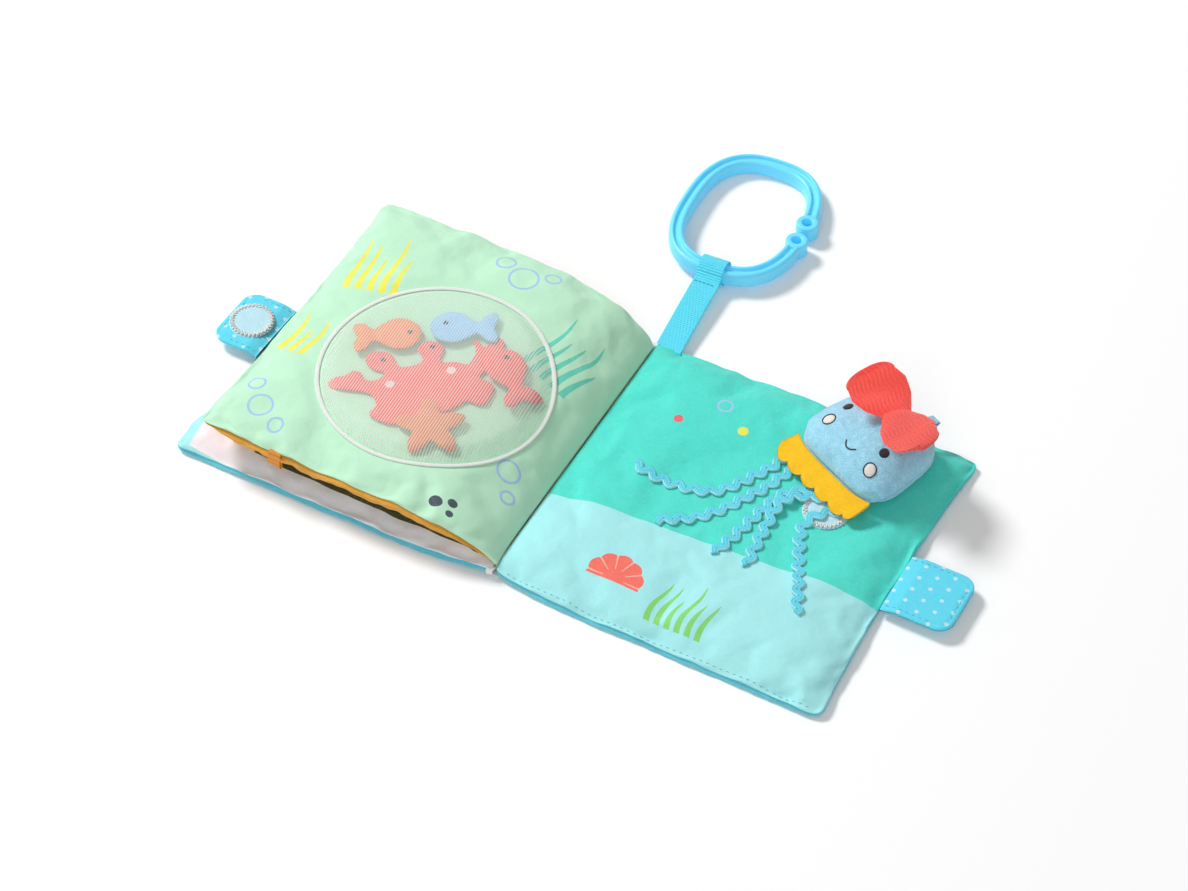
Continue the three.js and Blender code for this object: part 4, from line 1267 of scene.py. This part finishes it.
def add_fin(name, side, degrees, sweep_back, follow, move, size, node, body):
    """A cupped petal of two layers, rounded at its rim. move shifts it from its pivot."""
    tilt = math.radians(degrees)
    root = head_top(FIN_ROOT_Y)
    rows, columns = 30, 25
    layers = []
    for level in (1, -1):
        grid = np.zeros((rows, columns, 3))
        for i in range(rows):
            out = math.sin(0.5 * math.pi * i / (rows - 1)) ** 0.9
            wide = float(np.interp(out, FIN_OUT, FIN_WIDE))
            if out > 0.8:
                wide = 0.86 * math.sqrt(max(1 - ((out - 0.8) / 0.2) ** 2, 0)) ** 0.8 + 0.02
            for j in range(columns):
                across = math.sin(0.5 * math.pi * (2 * j / (columns - 1) - 1))
                rim = math.sqrt(max(1 - abs(across) ** 5, 0)) * math.sqrt(max(1 - out**12, 0))
                wave = 0.35 * math.sin(9 * out + 2 * across)
                rise = FIN_CUP * across**2 * out + wave * rim + level * FIN_THICKNESS / 2 * rim
                fall = head_top(FIN_ROOT_Y + FIN_WIDTH / 2 * FIN_WIDE[0] * across) - root
                x = FIN_THICKNESS / 2 + out * FIN_LENGTH * math.cos(tilt) - rise * math.sin(tilt)
                z = out * FIN_LENGTH * math.sin(tilt) + rise * math.cos(tilt)
                y = FIN_WIDTH / 2 * wide * across - sweep_back * out
                grid[i, j] = (side * x, y, z + fall * (1 - out * (1 - follow)))
        layers.append(grid.reshape(-1, 3))
    faces = shell_faces(rows, columns, side < 0, ends=False)
    lift = root + 0.3 + FIN_THICKNESS / 2 * math.cos(tilt)
    points = on_toy(np.concatenate(layers) * size + (0, FIN_ROOT_Y, lift) + move)
    piece = add_piece(name, (points, faces), f"{body}_cloth", "fin_cloth", None, [node])
    if move[0]:
        bend = on_toy([(-1.5, FIN_ROOT_Y, lift), (4.5, FIN_ROOT_Y, lift)]) * MM
        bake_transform(piece)
    else:
        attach(piece, body)


add_fin("left_fin_petal", -1, 34, 5, 0, (0, 0, 0), (1, 1, 1), "toy_left_fin", "left_fin")
add_fin("right_fin_petal", 1, 14, 8, 1, (-4.7, -1.6, 1.6), (1.14, 0.98, 1), "toy_right_fin",
        "right_fin")


SKIRT_WIDTH, SKIRT_OFFSET, SKIRT_DROP = 49.5, -4.8, 8
SCALLOP, LOBES = 2.2, 5.5


def skirt_point(along, down, level):
    """A point of the felt skirt: along its seam, down from it, and over or under its middle."""
    root = HEAD["width"] * (1 - HEAD_CORNER)
    scallop = SCALLOP * abs(math.sin(math.pi * LOBES * along)) ** 0.6
    drop = down * (SKIRT_DROP + scallop) * (1 - 0.4 * abs(2 * along - 1) ** 12)
    width = root + (SKIRT_WIDTH - root) * math.sqrt(down)
    x = HEAD["offset"] + (SKIRT_OFFSET - HEAD["offset"]) * down + width * (along - 0.5)
    corner = HEAD["length"] / 2 * HEAD_CORNER * (2 * along - 1) ** 4 * (1 - down)
    ruffle = 0.15 * down * math.sin(TURN * 5.3 * along + 0.7)
    rim = math.sqrt(max(1 - down**10, 0.04))
    z = HEAD_SEAM - 0.42 * drop + ruffle + level * 1.2 * rim
    return x, HEAD["bottom"] - 0.3 - drop + corner, z


def add_skirt():
    columns, rows = 120, 14
    points = [
        skirt_point(j / (columns - 1), i / (rows - 1), level)
        for level in (0.5, -0.5) for i in range(rows) for j in range(columns)
    ]
    shape = on_toy(points), shell_faces(rows, columns, False)
    skirt = add_piece("toy_skirt_felt", shape, "golden_felt", "yellow_felt", "skirt", ["toy_skirt"])


add_skirt()

# Tentacle routes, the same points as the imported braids

ROUTES = [
    [(83.2, 41.9, 12.6), (80.4, 38.2, 10.9), (78.0, 33.4, 9.8), (76.3, 28.6, 10.0),
     (73.7, 24.2, 9.5), (70.1, 17.5, 9.3), (66.1, 10.9, 9.3), (60.7, 5.7, 9.3),
     (54.1, 2.7, 9.3), (47.5, 1.7, 9.3), (39.9, 1.1, 9.3), (32.1, 1.3, 9.3),
     (25.7, 2.9, 9.3)],
    [(89.4, 38.9, 12.6), (86.8, 35.4, 11.0), (84.0, 30.6, 9.8), (81.6, 24.0, 9.4),
     (78.9, 17.2, 9.3), (75.3, 10.3, 9.3), (71.1, 2.7, 9.3), (67.3, -3.1, 9.3),
     (62.9, -8.5, 9.3), (57.7, -12.7, 9.3), (52.5, -16.5, 9.3), (47.9, -19.7, 9.3)],
    [(102.9, 32.5, 12.6), (100.6, 29.6, 11.3), (97.0, 26.8, 10.2), (93.2, 24.0, 9.4),
     (89.9, 21.1, 9.3), (86.7, 16.9, 9.3), (84.7, 11.1, 9.3), (83.1, 4.5, 9.3),
     (81.7, -2.9, 9.3), (80.1, -10.3, 9.3), (78.3, -17.1, 9.3), (76.7, -23.5, 9.3)],
    [(108.7, 29.7, 12.6), (106.2, 26.0, 11.0), (101.6, 22.8, 10.2), (96.4, 20.4, 10.5),
     (92.0, 17.4, 11.2), (89.1, 12.9, 11.0), (88.5, 6.7, 10.2), (88.9, 0.1, 9.5),
     (89.5, -7.5, 9.3), (90.1, -15.3, 9.3), (91.3, -22.8, 9.3)],
    [(116.2, 26.2, 12.6), (113.6, 21.8, 10.8), (109.2, 18.4, 10.2), (105.6, 14.6, 10.7),
     (103.0, 10.2, 10.2), (102.5, 5.1, 9.6), (104.5, -1.1, 9.3), (107.5, -7.5, 9.3),
     (110.7, -14.5, 9.3), (114.1, -21.7, 9.3), (117.5, -29.1, 9.3), (120.3, -36.5, 9.3)],
]
BRAID_PERIOD, BRAID_SWING, BRAID_WIDTH = 6.8, 1.4, 3.6
# This braid passes over the cover's round patch, so it settles on the cloth later
CROSSING_BRAID = 4


def braid_cloth():
    """Woven zigzag braid; the stored coordinate runs across it, from -1 to 1."""
    f = Finish("braid_cloth", 0.6, 0.3)
    found = f.node("ShaderNodeAttribute", {"attribute_name": "lay"}, output="Vector")
    split = f.node("ShaderNodeSeparateXYZ", values={0: found}).socket.node
    across, along = Shade(f, split.outputs[0]), Shade(f, split.outputs[1])
    strands = (across * 9).sine() * 0.5
    twill = ((along * 9) + abs(across) * 5).sine()
    shade = f.mix(twill.rise(-0.7, 0.6), darker(BRAID_BLUE, 0.88), BRAID_BLUE)
    edge = (abs(across) > 0.74) * 0.75
    f.dress(f.mix(edge, shade, BRAID_EDGE), Normal=f.bump(strands + twill * 0.4, 0.1))


braid_cloth()


def add_braid(number, route):
    line = smooth_path(route, 0.45)
    high, slope = (9.6, 0.3) if number == CROSSING_BRAID else (11, 1.5)
    lying = []
    for x, y, z in line:
        ground = surface_height("right_cover_inner_cloth", x, y)
        lying.append(z + (ground + 0.85 - z) * np.clip((high - z) / slope, 0, 1))
    line[:, 2] = np.convolve(np.pad(lying, 4, "edge"), np.ones(9) / 9, "valid")
    run = run_along(line)
    sides = unit(np.cross(UP, tangents(line)))
    zig = np.arcsin(0.9 * np.sin(TURN * run / BRAID_PERIOD + 1.1 * number)) / 1.12
    line = line + sides * (BRAID_SWING * zig)[:, None]
    across = np.linspace(-1, 1, 9)
    crown = 0.55 + 0.16 * np.cos(across * 3 * math.pi) * (np.abs(across) < 0.99)
    top = np.stack((across * BRAID_WIDTH / 2, crown * np.sqrt(1 - 0.8 * across**4)), axis=1)
    section = np.vstack((top, top[::-1][1:-1] * (1, -1)))[::-1]
    braid = add_piece(f"tentacle_{number}_braid", sweep(line, sides, section), "braid_cloth",
                      "rickrack", "toy", [f"toy_tentacle_{number}"])
    store = braid.data.attributes.new("lay", "FLOAT_VECTOR", "POINT")
    values = np.zeros((len(line), len(section), 3))
    values[..., 0] = section[:, 0] * 2 / BRAID_WIDTH
    values[..., 1] = run[:, None]
    store.data.foreach_set("vector", values.reshape(-1))
    path = smooth_path(route, 2.0)


for braid_number, braid_route in enumerate(ROUTES, 1):
    add_braid(braid_number, braid_route)


def add_hang_loop():
    low = HEAD["bottom"] + HEAD["length"]
    path = [(0, low + out, HEAD_SEAM + up) for out, up in (
        (-1, 0), (3, 0.5), (7, 1.0), (8.9, 0.1), (7, -0.8), (3, -0.5), (-1, -0.3)
    )]
    points, faces = sweep(smooth_path(path, 0.4), (1, 0, 0), oval_section(5, 0.5, 16, 6))
    add_piece("hang_loop_ribbon", (on_toy(points), faces), "loop", "loop_tape", "toy",
              ["toy_hang_loop"])


add_hang_loop()


# Stitches


def stitches(line, length, gap, thickness, lift=0.1):
    """Separate threads along a line of points, each one dipping in at its ends."""
    line = np.asarray(line, float)
    parts = []
    for start in np.arange(gap / 2, run_along(line)[-1] - length, length + gap):
        shares = np.linspace(0, 1, 6)
        spots = points_at(line, start + shares * length)
        spots[:, 2] += lift - 0.25 * (2 * shares - 1) ** 4
        fat = 0.55 + 0.45 * np.sin(math.pi * shares)
        side = unit(np.cross(UP, tangents(spots)))
        parts.append(sweep(spots, side, oval_section(thickness, thickness, 6), scales=fat))
    return parts


def add_cover_topstitch():
    """Stitches along the right cover's near edge."""
    place = leaf_plan(1, COVER, 3, 1, *RIGHT_PLAN)
    spots = []
    for share in np.linspace(0.03, 0.97, 160):
        x, y = place(share, 1.9 / COVER["length"])
        spots.append((x, y, surface_height("right_cover_inner_cloth", float(x), float(y))))
    add_piece("right_cover_topstitch", joined(stitches(spots, 1.6, 1.4, 0.26)), "aqua_thread",
              "outer_cloth", "right_cover")


add_cover_topstitch()

# Tabs and touch fasteners

TAB_WIDTH, TAB_CORNER, TAB_RISE, TAB_LIFT = 31.5, 7, 6, 1.6
TAB_SEAM = 2.2
SEAM_X = SPINE_GAP + COVER["width"] - 2.84
# Side of the book, length, and middle along the edge
TABS = {"left_tab": (-1, 23.5, -2), "right_tab": (1, 30, 1.5)}


def tab_surface(side, out, across, length, level):
    """A point of a tab: out from the cover's seam and across from -1 to 1."""
    corner = max(out - (length - TAB_CORNER), 0)
    half = TAB_WIDTH / 2 - TAB_CORNER + math.sqrt(max(TAB_CORNER**2 - corner**2, 0.04))
    lift = TAB_LIFT * min(out / TAB_RISE, 1)
    left = min(length - out, (1 - abs(across)) * half)
    seam = swell(max(left, 0), 2.6)
    channel = 0.3 * math.exp(-(((left - TAB_SEAM) / 0.7) ** 2))
    thick = 0.35 + 0.95 * seam - channel
    skewed = LEFT_PLAN[1] * across * half if side < 0 else 0
    x = side * (SEAM_X + 0.3 + out) + skewed
    return x, across * half, COVER["middle"] + lift + level * thick


def add_tab(name, side, length, centre):
    rows, columns = 40, 41
    outs = length * np.sin(0.5 * math.pi * np.linspace(0, 1, rows))
    acrosses = np.sin(0.5 * math.pi * np.linspace(-1, 1, columns))

    def surface(out, across, level=1):
        x, y, z = tab_surface(side, out, across, length, level)
        return x, y + centre, z

    points = [surface(out, a, level) for level in (1, -1) for out in outs for a in acrosses]
    shape = np.array(points), shell_faces(rows, columns, side < 0)
    add_piece(f"{name}_cloth", shape, "tab_cloth", "dotted_cloth", name, [name])
    inset = 1 - TAB_SEAM / (TAB_WIDTH / 2)
    lines = [[surface(length - TAB_SEAM, a * 0.62) for a in np.linspace(-1, 1, 30)]]
    for edge in (-inset, inset):
        lines.append([surface(out, edge) for out in np.linspace(1, length - 6.5, 24)])
    threads = [thread for line in lines for thread in stitches(line, 2, 0.9, 0.28)]
    add_piece(f"{name}_topstitch", joined(threads), "aqua_thread", "dotted_cloth", name)


for tab, (tab_side, tab_length, tab_middle) in TABS.items():
    add_tab(tab, tab_side, tab_length, tab_middle)

ZIGZAG_TEETH, ZIGZAG_SWING, ZIGZAG_THREAD = 32, 1.2, 0.7
PATCH_RADIUS, TOY_PATCH_RADIUS, PILE = 10, 9, 0.7
PATCH_PLACE = (106.8, 18.8)


def zigzag_ring(centre, radius, height):
    """Zigzag stitches round a disc."""
    turns = np.linspace(0, TURN, ZIGZAG_TEETH * 6 + 1)
    reach = radius + ZIGZAG_SWING * np.arcsin(0.98 * np.sin(turns * ZIGZAG_TEETH)) / 1.4
    spots = np.array([
        (centre[0] + r * math.cos(t), centre[1] + r * math.sin(t), height)
        for r, t in zip(reach, turns)
    ])[:-1]
    sides = unit(np.cross(UP, tangents(spots, True)))
    return sweep(spots, sides, oval_section(ZIGZAG_THREAD, ZIGZAG_THREAD, 6), closed=True)


def add_fastener(name, centre, radius, base, top, node, body):
    """A round patch of loop pile, stitched down round its edge. top is +1 or -1."""
    rings, sides = 10, 56

    def place(ring, angle):
        share = math.sin(0.5 * math.pi * ring / rings)
        drop = PILE * math.sqrt(max(1 - share**8, 0))
        dip = 0.25 * math.exp(-(((share - 0.9) / 0.06) ** 2))
        x = centre[0] + radius * share * math.cos(angle)
        y = centre[1] + radius * share * math.sin(angle)
        return x, y, base + top * (drop - dip)

    points, faces = disc(rings, sides, (*centre, base + top * PILE), place)
    if top < 0:
        faces = [face[::-1] for face in faces]
    add_piece(name, (points, faces), "patch_cloth", "fastener", body, [node])
    ring = zigzag_ring(centre, radius - 1.3, base + top * 0.72)
    add_piece(f"{name}_stitches", ring, "thread", "fastener", body)


for tab, (tab_side, tab_length, tab_middle) in TABS.items():
    patch_x = tab_side * (SEAM_X + tab_length - PATCH_RADIUS - 0.9)
    add_fastener(f"{tab}_patch", (patch_x, tab_middle), PATCH_RADIUS,
                 COVER["middle"] + TAB_LIFT - tab_side * 1.25, -tab_side, f"{tab}_fastener", tab)
add_fastener("right_cover_patch", PATCH_PLACE, PATCH_RADIUS,
             surface_height("right_cover_inner_cloth", *PATCH_PLACE) + 0.1, 1,
             "right_cover_fastener", "right_cover")
head_middle = on_toy([(HEAD["offset"], HEAD["bottom"] + HEAD["length"] / 2, 0)])[0]
add_fastener("toy_patch", (float(head_middle[0]), float(head_middle[1])), TOY_PATCH_RADIUS,
             TOY_FLOOR + 1.1, -1, "toy_fastener", "toy")

# Tag, spine, ribbon and link ring


def add_tag():
    u = (102 - SPINE_GAP) / PAGE["width"]
    y = -PAGE["length"] / 2 + u - 0.7
    z = float(page_middle(u))
    path = [(-102, y + 1.6, z - 0.5), (-102, y - 0.1, z - 0.4), (-102.3, y - 0.3, z - 3.4),
            (-102.2, y - 0.6, z - 6.6), (-101.8, y + 0.3, z - 7.3), (-101.9, y + 0.5, z - 5.6),
            (-101.9, y + 0.5, z - 2)]
    shape = sweep(smooth_path(path, 0.3), (1, 0, 0), oval_section(6, 0.55, 18, 6))
    add_piece("tag_loop", shape, "tag", "orange_tape", "tag", ["page_tag"])


add_tag()


def add_spine():
    half = COVER["length"] / 2 - SPINE_DRAW + 1.2
    line = np.array([(0, y, 0.42) for y in np.linspace(1.5 - half, half - 1.5, 120)])
    line[:, 0] += 0.35 * wander(line[:, 1], 9, 5)
    scales = 1 + 0.06 * wander(line[:, 1], 7, 6)
    tape = sweep(line, (1, 0, 0), oval_section(5, 0.75, 16, 6), scales=scales)
    add_piece("spine_tape_cloth", tape, "white_cloth", "white_tape", "page", ["spine_tape"])
    line = np.array([(0.2, y, 3.4) for y in np.linspace(-half + 4, half - 4, 120)])
    line[:, 0] += 0.1 * wander(line[:, 1], 12, 8)
    strip = sweep(line, (1, 0, 0), oval_section(0.7, 2.8, 12, 5))
    add_piece("seam_strip", strip, "page_cloth", "page_print", "page", ["spine_seam_strip"])
    ends = []
    for end in (-1, 1):
        bit = smooth_path([(-0.6, end * (half - 3.5), 3.6), (-0.9, end * (half - 1.4), 4.6),
                           (-1.2, end * (half - 0.2), 4.0), (-0.9, end * half, 2.4)], 0.4)
        ends.append(sweep(bit, (1, 0, 0), oval_section(3, 0.5, 12, 5)))
    add_piece("seam_allowance", joined(ends), "white_cloth", "white_tape", "page")


add_spine()

RING_X = np.array((0.9976, 0.0698, 0))
RING_Y = np.array((-0.0697, 0.997, -0.0328))
RING_Z = np.array((-0.0023, 0.0328, 0.9995))
RING_AT = np.array((1.4, 120.96, 6.205))
RING_HALF = (27.1, 36.6)
BAR_WIDTH, BAR_HEIGHT, SQUARENESS = 6.8, 7.6, 2.6
EYELET_GAP = 6.2


def bar_section():
    """Rounded bar with a groove in its upper and lower faces."""
    w, h, c, g = BAR_WIDTH / 2, BAR_HEIGHT / 2, 1.7, 1.2
    quarter = [(0.0, h - 1.4), (g - 0.35, h - 1.4), (g - 0.12, h - 1.3), (g, h - 1.05),
               (g + 0.08, h - 0.35), (g + 0.22, h - 0.1), (g + 0.5, h)]
    for turn in np.linspace(0.15, 1, 7) * math.pi / 2:
        quarter.append((w - c + c * math.sin(turn), h - c + c * math.cos(turn)))
    right = quarter + [(x, -y) for x, y in quarter[::-1]]
    left = [(-x, y) for x, y in right[::-1]][1:-1]
    return np.array(right + left)[::-1]


def ring_point(angle):
    power = 2 / SQUARENESS
    c, s = math.cos(angle), math.sin(angle)
    x = RING_HALF[0] * math.copysign(abs(c) ** power, c)
    y = RING_HALF[1] * math.copysign(abs(s) ** power, s)
    return x, y


def ring_place(x, y, z=0.0):
    return RING_AT + RING_X * x + RING_Y * (y + RING_HALF[1]) + RING_Z * z


def eyelet(y):
    """A hollow boss with rounded rims, turned about the ring's own upward axis."""
    x = ring_point(math.asin((EYELET_GAP / RING_HALF[1]) ** (SQUARENESS / 2)))[0]
    h = BAR_HEIGHT / 2
    profile = [(2.3, -h + 0.5), (2.5, -h + 0.12), (2.9, -h), (4.3, -h), (4.8, -h + 0.2),
               (5.0, -h + 0.7), (5.0, h - 0.7), (4.8, h - 0.2), (4.3, h), (2.9, h),
               (2.5, h - 0.12), (2.3, h - 0.5)]
    sides = 48
    points = []
    for k in range(sides):
        angle = TURN * k / sides
        for r, z in profile:
            points.append(ring_place(x + r * math.cos(angle), y + r * math.sin(angle), z))
    count = len(profile)
    faces = grid_faces(sides, count, wrap=True, flip=True)
    last = (sides - 1) * count
    faces += [[j, last + j, last + (j + 1) % count, (j + 1) % count][::-1] for j in range(count)]
    return np.array(points), faces


def add_ring():
    start = math.asin(((EYELET_GAP + 3.4) / RING_HALF[1]) ** (SQUARENESS / 2))
    angles = np.linspace(start, TURN - start, 900)
    flat = np.array([(*ring_point(angle), 0) for angle in angles])
    flat = points_at(flat, np.linspace(0, run_along(flat)[-1], 260))
    line = np.array([ring_place(x, y) for x, y, _ in flat])
    sides = unit(np.cross(np.broadcast_to(RING_Z, line.shape), tangents(line)))
    shape = joined([sweep(line, sides, bar_section()), eyelet(EYELET_GAP), eyelet(-EYELET_GAP)])
    ring = add_piece("link_ring_moulding", shape, "ring", "ring_plastic", "link_ring",
                     ["link_ring"])
    ring.modifiers.new("crisp", "EDGE_SPLIT").split_angle = math.radians(50)


add_ring()

RIBBON_AT = np.array((5, 72.755, 6.205))
RIBBON_X = np.array((0.9973, 0.0734, 0))
RIBBON_Y = np.array((-0.0734, 0.9973, 0))


def ribbon_place(run, z):
    return RIBBON_AT + RIBBON_Y * run + UP * z


def add_ribbon():
    reach, radius, lift = 43, 5.5, 2.6
    centre = reach + 5.9
    lower = [(-1.5, -lift - 0.4), (6, -lift * 0.85 - 0.38), (14, -lift * 0.62 - 0.36),
             (24, -lift * 0.36 - 0.34), (34, -lift * 0.14 - 0.32), (41, -0.3)]
    loop = [(centre + radius * math.cos(t), radius * math.sin(t))
            for t in np.linspace(math.pi + 0.34, 3 * math.pi - 0.34, 30)]
    upper = [(41, 0.3), (34, -lift * 0.14 + 0.3), (24, -lift * 0.36 + 0.3),
             (14, -lift * 0.62 + 0.28), (6, -lift * 0.85 + 0.26), (-1.5, -lift + 0.24)]
    line = smooth_path([ribbon_place(*spot) for spot in (*lower, *loop, *upper)], 0.5)
    tape = sweep(line, RIBBON_X, oval_section(12, 0.5, 22, 8))
    add_piece("ribbon_tape", tape, "ribbon", "ribbon", "ribbon", ["ribbon"])
    row = np.array([ribbon_place(39.5, 0.62) + RIBBON_X * s for s in np.linspace(-5.4, 5.4, 12)])
    threads = joined(stitches(row, 1.3, 0.6, 0.4, 0.02))
    add_piece("ribbon_stitches", threads, "aqua_thread", "ribbon", "ribbon")


add_ribbon()

# Floor, light and picture


FLOOR_LIFT = 0.05


def add_floor():
    mesh = bpy.data.meshes.new("floor")
    corners = [(-4, -4), (4, -4), (4, 4), (-4, 4)]
    mesh.from_pydata([(x, y, -0.0002) for x, y in corners], [], [(0, 1, 2, 3)])
    paper = bpy.data.materials.new("floor_paper")
    paper.use_nodes = True
    tree = paper.node_tree
    shader = tree.nodes["Principled BSDF"]
    shader.inputs["Base Color"].default_value = (0.97, 0.97, 0.97, 1)
    shader.inputs["Roughness"].default_value = 1.0
    shader.inputs["Specular IOR Level"].default_value = 0.0
    shader.inputs["Emission Color"].default_value = (1, 1, 1, 1)
    path = tree.nodes.new("ShaderNodeLightPath")
    lift = tree.nodes.new("ShaderNodeMath")
    lift.operation = "MULTIPLY"
    lift.inputs[1].default_value = FLOOR_LIFT
    tree.links.new(path.outputs["Is Camera Ray"], lift.inputs[0])
    tree.links.new(lift.outputs[0], shader.inputs["Emission Strength"])
    mesh.materials.append(paper)
    floor = bpy.data.objects.new("floor", mesh)
    bpy.context.scene.collection.objects.link(floor)


def add_light(name, place, size, power):
    lamp = bpy.data.lights.new(name, "AREA")
    lamp.shape = "DISK"
    lamp.size = size
    lamp.energy = power
    light = bpy.data.objects.new(name, lamp)
    light.location = place
    light.rotation_euler = (-Vector(place)).to_track_quat("-Z", "Y").to_euler()
    bpy.context.scene.collection.objects.link(light)


def set_world(level):
    world = bpy.data.worlds.new("studio")
    world.use_nodes = True
    tree = world.node_tree
    tree.nodes.clear()
    path = tree.nodes.new("ShaderNodeLightPath")
    blend = tree.nodes.new("ShaderNodeMixShader")
    out = tree.nodes.new("ShaderNodeOutputWorld")
    tree.links.new(path.outputs["Is Camera Ray"], blend.inputs[0])
    # The world lights the book at its level, and the camera sees it plain white
    for slot, strength in ((1, level), (2, 1)):
        white = tree.nodes.new("ShaderNodeBackground")
        white.inputs["Color"].default_value = (1, 1, 1, 1)
        white.inputs["Strength"].default_value = strength
        tree.links.new(white.outputs[0], blend.inputs[slot])
    tree.links.new(blend.outputs[0], out.inputs["Surface"])
    bpy.context.scene.world = world


add_floor()
add_light("key", (-2.0, 0.4, 2.15), 0.8, 68)
add_light("fill", (0.8, -2.6, 2.3), 2.4, 25)
set_world(0.36)
bpy.context.scene.view_settings.view_transform = "Standard"
